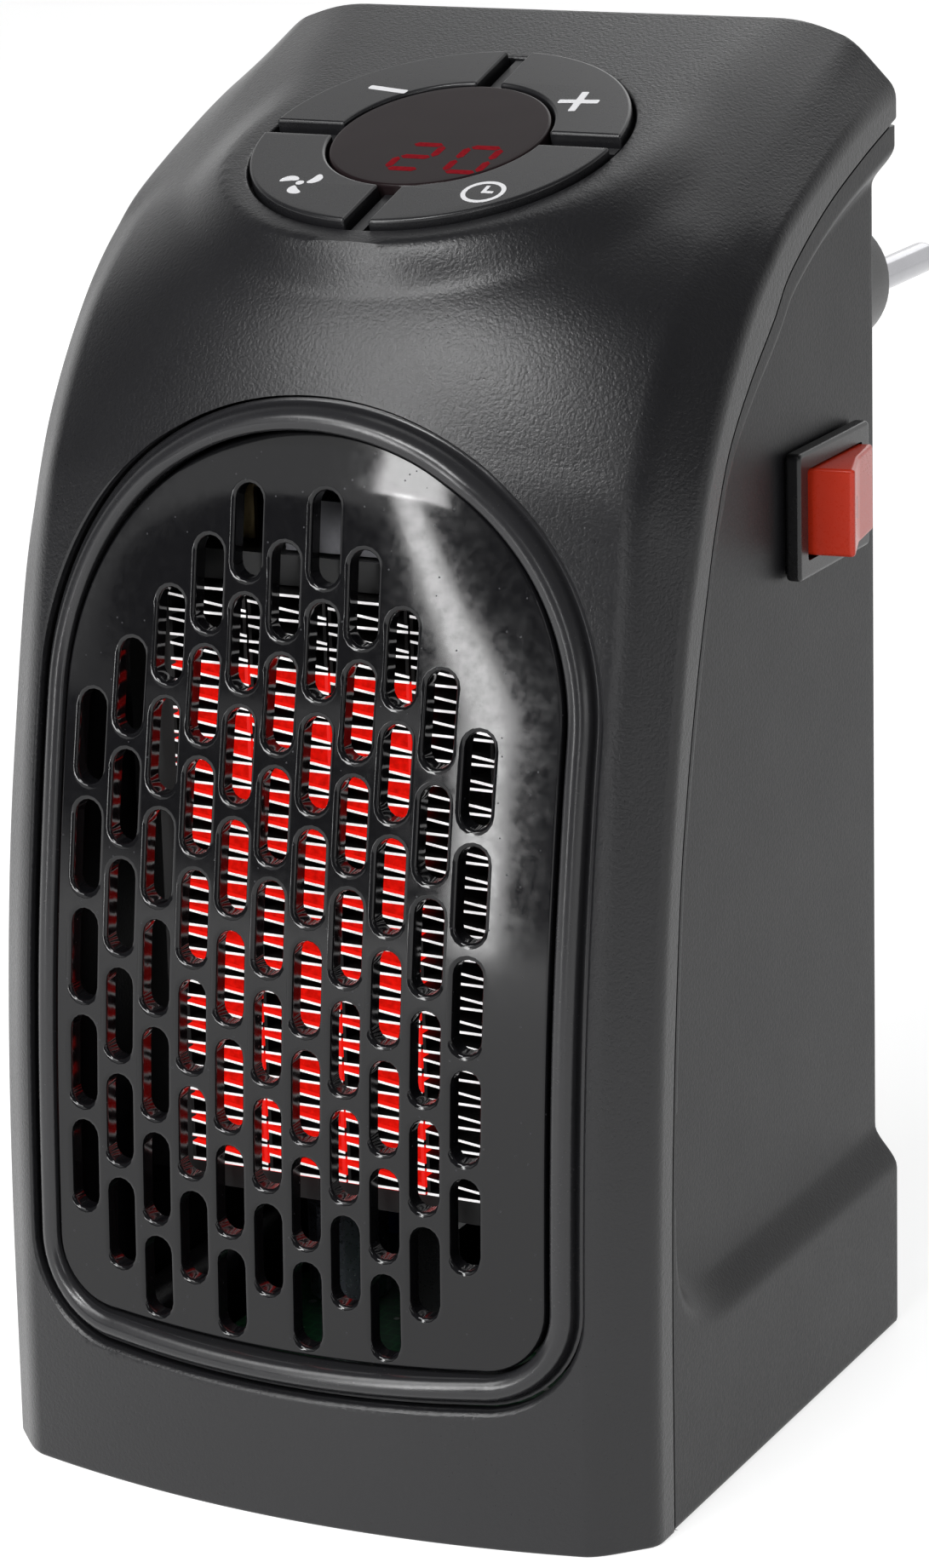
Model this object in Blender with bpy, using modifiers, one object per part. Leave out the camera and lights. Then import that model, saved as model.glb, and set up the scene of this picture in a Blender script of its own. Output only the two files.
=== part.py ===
# Plug-in fan heater: a leaning two-part shell with a slotted grille, a round keypad on
# its sloping top, a side rocker switch and a turning mains plug at the back.
# Metres, +Z up. The origin is the centre of the flat base; the grille faces -Y and the
# plug's pins point along +Y.

import functools
import math

import bmesh
import bpy
import numpy as np
from mathutils import Matrix, Vector

MM = 0.001
DEGREE = math.pi / 180.0

# Clearances, walls and facets
GAP = 0.3 * MM
WALL = 2.0 * MM
OVERRUN = 6.0 * MM
MERGE = 0.001 * MM
SHARP_ANGLE = 35.0 * DEGREE
BEVEL_ANGLE = 40.0 * DEGREE
ROUND_SIDES = 24
SMALL_SIDES = 12
PIN_SIDES = 16

# Hood: side profile as shares of the depth and height of its inner crease
HALF_WIDTH = 42.2 * MM
CREASE_HALF_WIDTH = 36.8 * MM
FRONT_DEPTH = 36.4 * MM
REAR_Y = 41.5 * MM
CREASE_HEIGHT = 160.1 * MM
FRONT_CROWN = 4.8 * MM
BROW_CROWN = 9.5 * MM
REAR_CROWN = 6.1 * MM
CROWN_PLACE_SHARES = (0.0, 0.47, 0.73, 1.0)
PROFILE_STATIONS = 26
CROWN_STATIONS = 15
PLAIN_STATIONS = 3
CREASE_SHARES = ((0.0, 0.0), (0.013, 0.209), (0.036, 0.367), (0.076, 0.5), (0.121, 0.608),
                 (0.177, 0.712), (0.22, 0.758), (0.285, 0.808), (0.354, 0.846),
                 (0.456, 0.882), (0.569, 0.909), (0.807, 0.962), (1.0, 1.0))
OUTER_SHARES = ((0.073, 0.0), (0.081, 0.187), (0.098, 0.324), (0.126, 0.443), (0.162, 0.537),
                (0.208, 0.637), (0.252, 0.696), (0.29, 0.74), (0.334, 0.776), (0.389, 0.812),
                (0.445, 0.843), (0.51, 0.87), (0.601, 0.899), (0.825, 0.943), (1.0, 0.965))
PARTING_SHARES = ((0.125, 0.0), (0.131, 0.187), (0.145, 0.317), (0.176, 0.456), (0.208, 0.537),
                  (0.248, 0.611), (0.286, 0.668), (0.316, 0.708), (0.366, 0.756),
                  (0.44, 0.796), (0.53, 0.834), (0.59, 0.862), (0.718, 0.896), (0.86, 0.922),
                  (1.0, 0.943))

# Sloping top and the keypad's axis on it, measured down from the crease's top
TOP_TILT = 17.5 * DEGREE
KEYPAD_Y = 7.1 * MM
KEYPAD_DROP = 8.7 * MM
KEYPAD_Z = CREASE_HEIGHT - KEYPAD_DROP
PLATFORM_RADIUS = 25.4 * MM
PLATFORM_FALL = 5.5 * MM
TOP_BLEND = 0.8 * MM

# Keypad, measured along the top's slope and its outward normal
KEY_HOLE_RADIUS = 22.5 * MM
KEY_GROOVE = 3.0 * MM
KEY_RIB = 1.5 * MM
KEY_PROUD = 1.0 * MM
KEY_EDGE = 0.4 * MM
KEY_TRAVEL = 0.5 * MM
KEY_STEM_RADIUS = 1.5 * MM
WINDOW_RADIUS = 12.95 * MM
WINDOW_PROUD = 0.8 * MM
WINDOW_THICKNESS = 1.9 * MM
FLOOR_DEPTH = 3.4 * MM
FLOOR_THICKNESS = 1.4 * MM
FLOOR_RADIUS = 23.5 * MM
FLOOR_HOLE_RADIUS = 9.4 * MM
SEAT_RADIUS = 12.6 * MM
SEAT_WALL = 2.1 * MM
BOARD_DEPTH = 10.0 * MM
BOARD_THICKNESS = 1.2 * MM
CONTROL_BOARD_SIZE = (50.0 * MM, 38.0 * MM)
STANDOFF_RADIUS = 2.0 * MM
STANDOFF_X = 19.0 * MM
STANDOFF_Y = 12.0 * MM
TACT_SIZE = 6.0 * MM
TACT_HEIGHT = 3.3 * MM
TACT_PLUNGER_RADIUS = 1.7 * MM
TACT_PLUNGER_HEIGHT = 0.9 * MM
LED_SIZE = (15.0 * MM, 9.5 * MM)

# Grille: arched panel, its bead and the slots
ARCH_HALF_WIDTH = 31.4 * MM
ARCH_DROP = 67.6 * MM
ARCH_Z = CREASE_HEIGHT - ARCH_DROP
GRILLE_BOTTOM_Z = 19.5 * MM
GRILLE_BOTTOM_BOW = 2.2 * MM
GRILLE_CORNER = 8.0 * MM
PANEL_SINK = 2.8 * MM
PANEL_PROUD = 0.6 * MM
PANEL_THICKNESS = 2.2 * MM
PANEL_FIT = 0.35 * MM
BEZEL_WIDTH = 3.7 * MM
BEZEL_DEPTH = 3.2 * MM
BEZEL_CREST = 0.5 * MM
BEZEL_WIDTH_SHARES = (0.095, 0.095, 0.27, 0.49, 0.73, 0.89, 1.0, 1.0)
BEZEL_RISE_SHARES = (-1.0, -0.19, 0.45, 1.0, 0.2, -0.375, -0.44, -1.0)
GRILLE_HOLE = 4.0 * MM
SLOT_SHIFT = -2.9 * MM
SLOT_PITCH_X = 4.94 * MM
SLOT_PITCH_Z = 12.44 * MM
SLOT_CENTRE_Z = 68.9 * MM
SLOT_LENGTH = 10.6 * MM
SLOT_WIDTH = 3.5 * MM
SLOT_MARGIN = 1.0 * MM
SLOT_END_POINTS = 5
SLOT_TOP_STEPS = (3, 4, 5, 6, 7, 6, 7, 6, 5, 4, 3)
SLOT_BOTTOM_STEPS = (-5, -6, -7, -6, -7, -6, -7, -6, -7, -6, -5)

# Side recess of the rear shell
RECESS_DEPTH = 2.9 * MM
RECESS_RIM_LOW = 1.0 * MM
RECESS_RIM_REAR = 3.0 * MM
RECESS_SLOPE_LOW = 2.6 * MM
RECESS_SLOPE_BEND = 5.5 * MM
RECESS_SLOPE_REAR = 8.4 * MM
RECESS_WIDTH_SHARES = (0.0, 0.6, 0.72, 1.0)
LEDGE_RIM_Z = 20.8 * MM
LEDGE_FLOOR_Z = 26.0 * MM
LEDGE_CORNER_RISE = 13.0 * MM
LEDGE_CORNER_RUN = 16.0 * MM
LEDGE_CORNER_POINTS = 5

# Rocker switch in the right-hand recess; the rocker turns about a vertical axis
SWITCH_Y = 23.9 * MM
SWITCH_DROP = 51.2 * MM
SWITCH_Z = CREASE_HEIGHT - SWITCH_DROP
SWITCH_BEZEL = (21.0 * MM, 15.0 * MM)
SWITCH_BEZEL_THICKNESS = 1.9 * MM
SWITCH_BEZEL_EDGE = 0.5 * MM
SWITCH_BODY = (19.0 * MM, 13.0 * MM)
SWITCH_BODY_DEPTH = 12.0 * MM
SWITCH_OPENING = (16.4 * MM, 10.8 * MM)
SWITCH_CAVITY_DEPTH = 7.5 * MM
ROCKER_HALF_LENGTH = 7.4 * MM
ROCKER_FOOT_HALF_LENGTH = 6.6 * MM
ROCKER_HEIGHT = 2.6 * MM
ROCKER_FOOT_DEPTH = 3.0 * MM
ROCKER_PIVOT_DEPTH = 2.2 * MM
ROCKER_SIDE_GAP = 0.25 * MM
ROCKER_VEE = 5.0 * DEGREE
ROCKER_TILT = 14.0 * DEGREE
ROCKER_EDGE = 0.3 * MM
ROCKER_PIN_RADIUS = 1.0 * MM
ROCKER_PIN_LENGTH = 0.9 * MM
TAB_SIZE = (7.0 * MM, 0.8 * MM, 4.8 * MM)
TAB_SPACING = 7.0 * MM

# Turning mains plug at the back
PLUG_X = 13.2 * MM
PLUG_DROP = 36.1 * MM
PLUG_Z = CREASE_HEIGHT - PLUG_DROP
TURNTABLE_RADIUS = 20.6 * MM
TURNTABLE_THICKNESS = 1.6 * MM
HUB_RADIUS = 18.0 * MM
HUB_DEPTH = 3.6 * MM
RETAINER_RADIUS = 20.8 * MM
RETAINER_THICKNESS = 1.8 * MM
NECK_BASE = (34.0 * MM, 27.0 * MM)
NECK_NOSE = (25.0 * MM, 16.5 * MM)
NECK_LENGTH = 39.0 * MM
NECK_WAIST_SHARE = 0.7
NECK_CORNER_POINTS = 5
PIN_SPACING = 19.0 * MM
PIN_RADIUS = 2.0 * MM
PIN_LENGTH = 19.0 * MM
PIN_ROOT = 7.0 * MM
PIN_TIP = 0.9 * MM

# Heating element: folded fin strips side by side, with the heating bars behind them
ELEMENT_FRONT_Y = -24.0 * MM
ELEMENT_Z = 70.0 * MM
ELEMENT_DEPTH = 11.0 * MM
FIN_STRIPS = 4
FIN_WIDTH = 10.0 * MM
FIN_HEIGHT = 69.6 * MM
FIN_PITCHES = 24
FIN_SHEET = 0.4 * MM
FIN_DEPTH = 5.0 * MM
FOLD_SHARES = (0.35, 0.8)
PTC_WIDTH = 2.6 * MM
PTC_DEPTH = 4.7 * MM
FRAME_RIM = 3.5 * MM
FRAME_SETBACK = 2.5 * MM

# Fan duct, motor and rotor on one axis along Y
FAN_Z = 70.0 * MM
DUCT_PLATE = (68.0 * MM, 84.0 * MM)
DUCT_PLATE_THICKNESS = 2.5 * MM
DUCT_BORE_RADIUS = 30.5 * MM
DUCT_WALL = 1.8 * MM
DUCT_LENGTH = 22.0 * MM
CUP_WALL = 2.0 * MM
CUP_DEPTH = 5.0 * MM
ARM_COUNT = 3
ARM_WIDTH = 3.0 * MM
MOTOR_RADIUS = 12.0 * MM
MOTOR_LENGTH = 21.0 * MM
MOTOR_FRONT_Y = 8.0 * MM
SHAFT_RADIUS = 1.2 * MM
ROTOR_HUB_RADIUS = 9.0 * MM
ROTOR_DEPTH = 12.0 * MM
ROTOR_FRONT_Y = -6.0 * MM
BLADE_COUNT = 7
BLADE_TIP_RADIUS = 29.4 * MM
BLADE_CHORD = 13.0 * MM
BLADE_THICKNESS = 1.2 * MM
BLADE_ROOT_ANGLE = 48.0 * DEGREE
BLADE_TIP_ANGLE = 28.0 * DEGREE
BLADE_SECTIONS = 4

# Intake slots in the back
INTAKE_ROWS = 8
INTAKE_PITCH = 8.0 * MM
INTAKE_LENGTH = 46.0 * MM
INTAKE_WIDTH = 3.4 * MM
INTAKE_Z = 66.0 * MM

# Power board over the base, with its tall parts
POWER_BOARD_SIZE = (48.0 * MM, 46.0 * MM)
POWER_BOARD_Y = 5.0 * MM
POWER_BOARD_Z = 7.0 * MM
POWER_BOARD_THICKNESS = 1.6 * MM
PEG_INSET = 4.0 * MM
PEG_RADIUS = 2.5 * MM
RELAY_SIZE = (15.5 * MM, 19.0 * MM, 15.0 * MM)
FILM_CAPACITOR_SIZE = (8.0 * MM, 18.0 * MM, 14.0 * MM)
CAN_RADIUS = 5.0 * MM
CAN_HEIGHT = 12.0 * MM
COMPONENT_STEP = 16.0 * MM
CUTOUT_SIZE = (14.0 * MM, 8.0 * MM, 6.0 * MM)
TERMINAL_SIZE = (6.0 * MM, 0.8 * MM, 7.0 * MM)
TERMINAL_X = 16.0 * MM

# Screws, bosses and posts that close the shell
SCREW_X = 33.0 * MM
SCREW_LOW_Z = 11.0 * MM
SCREW_DROP = 17.1 * MM
SCREW_HIGH_Z = CREASE_HEIGHT - SCREW_DROP
BOSS_RADIUS = 4.2 * MM
BOSS_LENGTH = 6.5 * MM
POST_RADIUS = 3.0 * MM
COUNTERBORE_RADIUS = 3.1 * MM
COUNTERBORE_DEPTH = 5.5 * MM
SCREW_HEAD_RADIUS = 2.8 * MM
SCREW_HEAD_HEIGHT = 1.8 * MM
SCREW_RADIUS = 1.4 * MM
SCREW_LENGTH = 12.0 * MM
DUCT_POST_RADIUS = 2.6 * MM
DUCT_POST_X = 31.0 * MM
DUCT_POST_REACH = 38.0 * MM

# Internal wires
WIRE_RADIUS = 0.8 * MM
WIRE_POINTS = 12
WIRE_BEND = 14.0 * MM
WIRE_SWEEP = 30.0 * MM

BASE_FACING = Matrix.Identity(4)
SIDE_FACING = Matrix(((0.0, 0.0, 1.0, 0.0), (1.0, 0.0, 0.0, 0.0),
                      (0.0, 1.0, 0.0, 0.0), (0.0, 0.0, 0.0, 1.0)))
FRONT_FACING = Matrix(((1.0, 0.0, 0.0, 0.0), (0.0, 0.0, -1.0, 0.0),
                       (0.0, 1.0, 0.0, 0.0), (0.0, 0.0, 0.0, 1.0)))
DEPTH_FACING = Matrix(((-1.0, 0.0, 0.0, 0.0), (0.0, 0.0, 1.0, 0.0),
                       (0.0, 1.0, 0.0, 0.0), (0.0, 0.0, 0.0, 1.0)))
TOP_FACING = Matrix.Translation((0.0, KEYPAD_Y, KEYPAD_Z)) @ Matrix.Rotation(TOP_TILT, 4, 'X')


def depth_frame(x, z):
    """A frame at (x, z) whose own Z points back along +Y and whose own Y points up."""
    return Matrix.Translation((x, 0.0, z)) @ DEPTH_FACING


# Scene, collections and materials

def clear_scene():
    for item in list(bpy.data.objects):
        bpy.data.objects.remove(item, do_unlink=True)


def new_collection(name):
    collection = bpy.data.collections.new(name)
    bpy.context.scene.collection.children.link(collection)
    return collection


def material(name, colour, roughness, metallic=0.0):
    made = bpy.data.materials.new(name)
    made.use_nodes = True
    shader = made.node_tree.nodes["Principled BSDF"]
    shader.inputs["Base Color"].default_value = (*colour, 1.0)
    shader.inputs["Roughness"].default_value = roughness
    shader.inputs["Metallic"].default_value = metallic
    return made


def new_object(name, mesh, frame=None):
    made = bpy.data.objects.new(name, mesh)
    PARTS.objects.link(made)
    if frame is not None:
        made.matrix_world = frame
    return made


def as_cutter(item):
    PARTS.objects.unlink(item)
    CUTTERS.objects.link(item)
    item.hide_render = True
    item.display_type = 'WIRE'
    return item


def finish(item, surface, smooth=False):
    item.data.materials.clear()
    item.data.materials.append(surface)
    if smooth:
        item.data.shade_smooth()
        item.data.set_sharp_from_angle(angle=SHARP_ANGLE)
    return item


# Solids

def mesh_from(name, builder):
    work = bmesh.new()
    builder(work)
    bmesh.ops.recalc_face_normals(work, faces=work.faces)
    mesh = bpy.data.meshes.new(name)
    work.to_mesh(mesh)
    work.free()
    return mesh


def box(name, size, centre, frame=BASE_FACING):
    def build(work):
        bmesh.ops.create_cube(work, size=1.0)
        bmesh.ops.scale(work, vec=Vector(size), verts=work.verts)
        bmesh.ops.translate(work, vec=Vector(centre), verts=work.verts)
    return new_object(name, mesh_from(name, build), frame)


def cylinder(name, radius, start, end, frame=BASE_FACING, sides=ROUND_SIDES, centre=(0.0, 0.0)):
    """A round bar along the frame's own Z from start to end."""
    def build(work):
        bmesh.ops.create_cone(work, cap_ends=True, segments=sides, radius1=radius,
                              radius2=radius, depth=end - start)
        middle = Vector((centre[0], centre[1], (start + end) / 2.0))
        bmesh.ops.translate(work, vec=middle, verts=work.verts)
    return new_object(name, mesh_from(name, build), frame)


def flat_solid(name, outlines, low, high, frame):
    """Outlines in the frame's XY, holes included, made solid from low to high along its Z."""
    curve = bpy.data.curves.new(name, 'CURVE')
    curve.dimensions = '2D'
    curve.fill_mode = 'BOTH'
    curve.extrude = (high - low) / 2.0
    for outline in outlines:
        spline = curve.splines.new('POLY')
        spline.points.add(len(outline) - 1)
        for point, place in zip(spline.points, outline):
            point.co = (place[0], place[1], 0.0, 1.0)
        spline.use_cyclic_u = True
    carrier = bpy.data.objects.new(name + "_outline", curve)
    bpy.context.scene.collection.objects.link(carrier)
    bpy.context.view_layer.update()
    evaluated = carrier.evaluated_get(bpy.context.evaluated_depsgraph_get())
    mesh = bpy.data.meshes.new_from_object(evaluated)
    work = bmesh.new()
    work.from_mesh(mesh)
    bmesh.ops.remove_doubles(work, verts=work.verts, dist=MERGE)
    bmesh.ops.translate(work, vec=Vector((0.0, 0.0, (low + high) / 2.0)), verts=work.verts)
    bmesh.ops.recalc_face_normals(work, faces=work.faces)
    work.to_mesh(mesh)
    work.free()
    mesh.name = name
    bpy.data.objects.remove(carrier, do_unlink=True)
    return new_object(name, mesh, frame)


def turned(name, profile, frame, sides=ROUND_SIDES, ring=True):
    """A profile of (radius, height) turned about Z: a closed ring, or open with both ends on Z."""
    mesh = bpy.data.meshes.new(name)
    verts = [(radius, 0.0, height) for radius, height in profile]
    edges = [(i, i + 1) for i in range(len(verts) - 1)]
    if ring:
        edges.append((len(verts) - 1, 0))
    mesh.from_pydata(verts, edges, [])
    made = new_object(name, mesh, frame)
    screw = made.modifiers.new("Turn", 'SCREW')
    screw.steps = sides
    screw.render_steps = sides
    screw.use_merge_vertices = True
    screw.merge_threshold = MERGE
    return made


def loft(work, rings, closed=False):
    """Faces between successive rings of points; the ends are capped, or joined if closed."""
    made = [[work.verts.new(point) for point in ring] for ring in rings]
    pairs = list(zip(made, made[1:]))
    if closed:
        pairs.append((made[-1], made[0]))
    for low, high in pairs:
        for i in range(len(low)):
            j = (i + 1) % len(low)
            work.faces.new((low[i], low[j], high[j], high[i]))
    if not closed:
        work.faces.new(list(reversed(made[0])))
        work.faces.new(made[-1])


def lofted(name, rings, frame=BASE_FACING, closed=False):
    return new_object(name, mesh_from(name, lambda work: loft(work, rings, closed)), frame)


def rounded_rectangle(size, corner, points=NECK_CORNER_POINTS):
    outline = []
    for quarter in range(4):
        side_x = 1.0 if quarter in (0, 3) else -1.0
        side_y = 1.0 if quarter in (0, 1) else -1.0
        middle = (side_x * (size[0] / 2.0 - corner), side_y * (size[1] / 2.0 - corner))
        for step in range(points):
            angle = (quarter + step / (points - 1)) * math.pi / 2.0
            outline.append((middle[0] + corner * math.cos(angle),
                            middle[1] + corner * math.sin(angle)))
    return outline


def rectangle(size, centre=(0.0, 0.0)):
    half_x = size[0] / 2.0
    half_y = size[1] / 2.0
    return [(centre[0] - half_x, centre[1] - half_y), (centre[0] + half_x, centre[1] - half_y),
            (centre[0] + half_x, centre[1] + half_y), (centre[0] - half_x, centre[1] + half_y)]


def circle(radius, centre=(0.0, 0.0), sides=ROUND_SIDES):
    turns = [2.0 * math.pi * i / sides for i in range(sides)]
    return [(centre[0] + radius * math.cos(a), centre[1] + radius * math.sin(a)) for a in turns]


def obround(centre_x, low, high, width, ends=SLOT_END_POINTS):
    """An upright slot outline with round ends."""
    radius = width / 2.0
    outline = []
    for middle, start in ((high - radius, 0.0), (low + radius, math.pi)):
        for step in range(ends):
            angle = start + math.pi * step / (ends - 1)
            outline.append((centre_x + radius * math.cos(angle),
                            middle + radius * math.sin(angle)))
    return outline


def combine(item, tool, operation):
    modifier = item.modifiers.new(tool.name, 'BOOLEAN')
    modifier.operation = operation
    modifier.solver = 'EXACT'
    modifier.object = tool
    return item


def cut(item, *tools):
    for tool in tools:
        combine(item, tool, 'DIFFERENCE')


def join(item, *tools):
    for tool in tools:
        combine(item, tool, 'UNION')


def soften(item, width, segments=1):
    bevel = item.modifiers.new("Edges", 'BEVEL')
    bevel.width = width
    bevel.segments = segments
    bevel.limit_method = 'ANGLE'
    bevel.angle_limit = BEVEL_ANGLE


# Side profile of the hood

@functools.cache
def side_curve(shares, count=PROFILE_STATIONS):
    """Evenly spaced (y, z) stations on a smooth line through the shares, run on at both ends."""
    depth = REAR_Y + FRONT_DEPTH
    knots = np.array([(y * depth - FRONT_DEPTH, z * CREASE_HEIGHT) for y, z in shares])
    padded = np.vstack([2.0 * knots[0] - knots[1], knots, 2.0 * knots[-1] - knots[-2]])
    fine = []
    for a, b, c, d in zip(padded, padded[1:], padded[2:], padded[3:]):
        for s in np.linspace(0.0, 1.0, PROFILE_STATIONS, endpoint=False):
            bend = (2.0 * a - 5.0 * b + 4.0 * c - d) * s ** 2 + (3.0 * (b - c) + d - a) * s ** 3
            fine.append(b + 0.5 * ((c - a) * s + bend))
    fine.append(knots[-1])
    fine = np.array(fine)
    run = np.concatenate([[0.0], np.cumsum(np.hypot(*np.diff(fine, axis=0).T))])
    even = np.linspace(0.0, run[-1], count)
    line = np.column_stack([np.interp(even, run, fine[:, 0]), np.interp(even, run, fine[:, 1])])
    first = line[0] + (line[0] - line[1]) / np.hypot(*(line[0] - line[1])) * OVERRUN
    last = line[-1] + (line[-1] - line[-2]) / np.hypot(*(line[-1] - line[-2])) * OVERRUN
    return np.vstack([first, line, last])


def outward(line):
    tangent = np.gradient(line, axis=0)
    tangent /= np.hypot(tangent[:, 0], tangent[:, 1])[:, None]
    return np.column_stack([-tangent[:, 1], tangent[:, 0]])


def mitre(first, second):
    """How far a corner between two faces moves, along each axis, for a unit inset."""
    both = (first[0] + second[0], first[1] + second[1])
    scale = 1.0 + first[0] * second[0] + first[1] * second[1]
    return both[0] / scale, both[1] / scale


def unit(vector):
    length = math.hypot(*vector)
    return vector[0] / length, vector[1] / length


def eased(share):
    return share * share * (3.0 - 2.0 * share)


@functools.cache
def crown_heights(count=PROFILE_STATIONS):
    """The crown's height at each station of a side curve, eased from place to place."""
    crowns = (FRONT_CROWN, FRONT_CROWN, BROW_CROWN, REAR_CROWN)
    heights = []
    for share in np.linspace(0.0, 1.0, count):
        place = max(index for index in range(len(crowns) - 1) if CROWN_PLACE_SHARES[index] <= share)
        low, high = CROWN_PLACE_SHARES[place:place + 2]
        rise = crowns[place + 1] - crowns[place]
        heights.append(crowns[place] + rise * eased((share - low) / (high - low)))
    return heights[:1] + heights + heights[-1:]


def crown_height(crown, x, half_width):
    return crown * (1.0 - (x / half_width) ** 2)


def top_height(point, normal, inset, x):
    """Height of the sloping top over the crease line, and how far the keypad's platform falls."""
    slope = np.array((-math.sin(TOP_TILT), math.cos(TOP_TILT)))
    along = np.array((math.cos(TOP_TILT), math.sin(TOP_TILT)))
    centre = np.array((KEYPAD_Y, KEYPAD_Z)) - slope * inset
    height = (centre - point) @ slope / (normal @ slope)
    reach = math.hypot(x, (point + normal * height - centre) @ along)
    fall = (reach - (PLATFORM_RADIUS - inset)) / PLATFORM_FALL
    return height, eased(min(1.0, max(0.0, fall)))


def skin_height(point, normal, crown, inset, x):
    """Height of the hood's skin over its crease line: crown, sloping top and keypad platform."""
    plane, share = top_height(point, normal, inset, x)
    overlap = max(TOP_BLEND - abs(crown - plane), 0.0)
    lower = min(crown, plane) - overlap ** 2 / (4.0 * TOP_BLEND)
    if plane > crown + FRONT_DEPTH:
        return crown
    return plane * (1.0 - share) + lower * share


def hood_volume(name, inset, side_inset, stations):
    """The whole hood as one closed solid, moved in by inset, its sides by side_inset."""
    crease = side_curve(CREASE_SHARES)
    outer = side_curve(OUTER_SHARES)
    crease_normal = outward(crease)
    outer_normal = outward(outer)
    drop = float(np.hypot(*(outer[1] - crease[1])))
    chamfer = unit((drop, HALF_WIDTH - CREASE_HALF_WIDTH))
    outer_move = mitre(chamfer, (1.0, 0.0))
    side_x = HALF_WIDTH - side_inset
    outer = outer - outer_normal * inset * outer_move[1]

    def build(work):
        rows = []
        for point, normal, edge, crown in zip(crease, crease_normal, outer, crown_heights()):
            crease_move = mitre(unit((2.0 * crown, CREASE_HALF_WIDTH)), chamfer)
            crease_x = CREASE_HALF_WIDTH - inset * crease_move[0]
            inner = point - normal * inset * crease_move[1]
            row = [work.verts.new((-side_x, edge[0], edge[1]))]
            for x in np.linspace(-crease_x, crease_x, stations):
                rise = crown_height(crown, x, crease_x)
                y, z = inner + normal * skin_height(inner, normal, rise, inset, x)
                row.append(work.verts.new((x, y, z)))
            row.append(work.verts.new((side_x, edge[0], edge[1])))
            rows.append(row)
        for low, high in zip(rows, rows[1:]):
            for i in range(len(low) - 1):
                work.faces.new((low[i], low[i + 1], high[i + 1], high[i]))
        corner_y = max(crease[-1][0], outer[-1][0])
        left = work.verts.new((-side_x, corner_y, outer[0][1]))
        right = work.verts.new((side_x, corner_y, outer[0][1]))
        work.faces.new([row[0] for row in rows] + [left])
        work.faces.new([row[-1] for row in rows] + [right])
        work.faces.new(rows[0] + [right, left])
        work.faces.new(rows[-1] + [right, left])
        bmesh.ops.recalc_face_normals(work, faces=work.faces)
        for place, normal in (((0.0, REAR_Y - inset, 0.0), (0.0, 1.0, 0.0)),
                              ((0.0, 0.0, inset), (0.0, 0.0, -1.0))):
            everything = work.verts[:] + work.edges[:] + work.faces[:]
            bmesh.ops.bisect_plane(work, geom=everything, plane_co=place, plane_no=normal,
                                   clear_outer=True)
            rim = [edge for edge in work.edges if edge.is_boundary]
            bmesh.ops.holes_fill(work, edges=rim, sides=0)
        bmesh.ops.remove_doubles(work, verts=work.verts, dist=MERGE)
    return new_object(name, mesh_from(name, build), BASE_FACING)


def front_at(z):
    """Depth of the crease line at a height, how squarely it faces forward, and its crown."""
    line = side_curve(CREASE_SHARES)
    normal = outward(line)
    y = float(np.interp(z, line[:, 1], line[:, 0]))
    facing = float(np.interp(z, line[:, 1], -normal[:, 0]))
    return y, facing, float(np.interp(z, line[:, 1], crown_heights()))


# Grille outline, one count of points whatever the offset

def grille_outline(offset):
    half = ARCH_HALF_WIDTH + offset
    corner = GRILLE_CORNER + offset
    inner = half - corner
    base = GRILLE_BOTTOM_Z - offset

    def bottom(x):
        return base + GRILLE_BOTTOM_BOW * (x / half) ** 2

    corner_z = bottom(inner) + corner
    points = [(half * math.cos(a), ARCH_Z + half * math.sin(a))
              for a in np.linspace(0.0, math.pi, 21)]
    points += [(-half, z) for z in np.linspace(ARCH_Z, corner_z, 6)[1:]]
    points += [(-inner - corner * math.cos(a), corner_z - corner * math.sin(a))
               for a in np.linspace(0.0, math.pi / 2.0, 5)[1:]]
    points += [(x, bottom(x)) for x in np.linspace(-inner, inner, 7)[1:]]
    points += [(inner + corner * math.sin(a), corner_z - corner * math.cos(a))
               for a in np.linspace(0.0, math.pi / 2.0, 5)[1:]]
    points += [(half, z) for z in np.linspace(corner_z, ARCH_Z, 6)[1:-1]]
    return points


def grille_bottom(x):
    return GRILLE_BOTTOM_Z + GRILLE_BOTTOM_BOW * (x / ARCH_HALF_WIDTH) ** 2


def slot_outlines():
    outlines = []
    columns = len(SLOT_TOP_STEPS)
    for column in range(columns):
        x = SLOT_SHIFT + (column - (columns - 1) / 2) * SLOT_PITCH_X
        for step in range(SLOT_BOTTOM_STEPS[column], SLOT_TOP_STEPS[column] + 1, 2):
            middle = SLOT_CENTRE_Z + step * SLOT_PITCH_Z / 2.0
            low = max(middle - SLOT_LENGTH / 2.0, grille_bottom(x) + SLOT_MARGIN)
            outlines.append(obround(x, low, middle + SLOT_LENGTH / 2.0, SLOT_WIDTH))
    return outlines


# Shell parts

def parting_region(name, offset, reach_y, reach_z):
    """A block across the hood on one side of the parting line."""
    line = side_curve(PARTING_SHARES)
    line = line + outward(line) * offset
    points = [tuple(point) for point in line]
    if reach_y < 0.0:
        points += [(line[-1][0], line[-1][1] + reach_z), (line[0][0] + reach_y, line[-1][1] + reach_z),
                   (line[0][0] + reach_y, line[0][1])]
    else:
        points += [(line[-1][0], line[0][1])]
    half = HALF_WIDTH + OVERRUN
    return as_cutter(flat_solid(name, [points], -half, half, SIDE_FACING))


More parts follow.
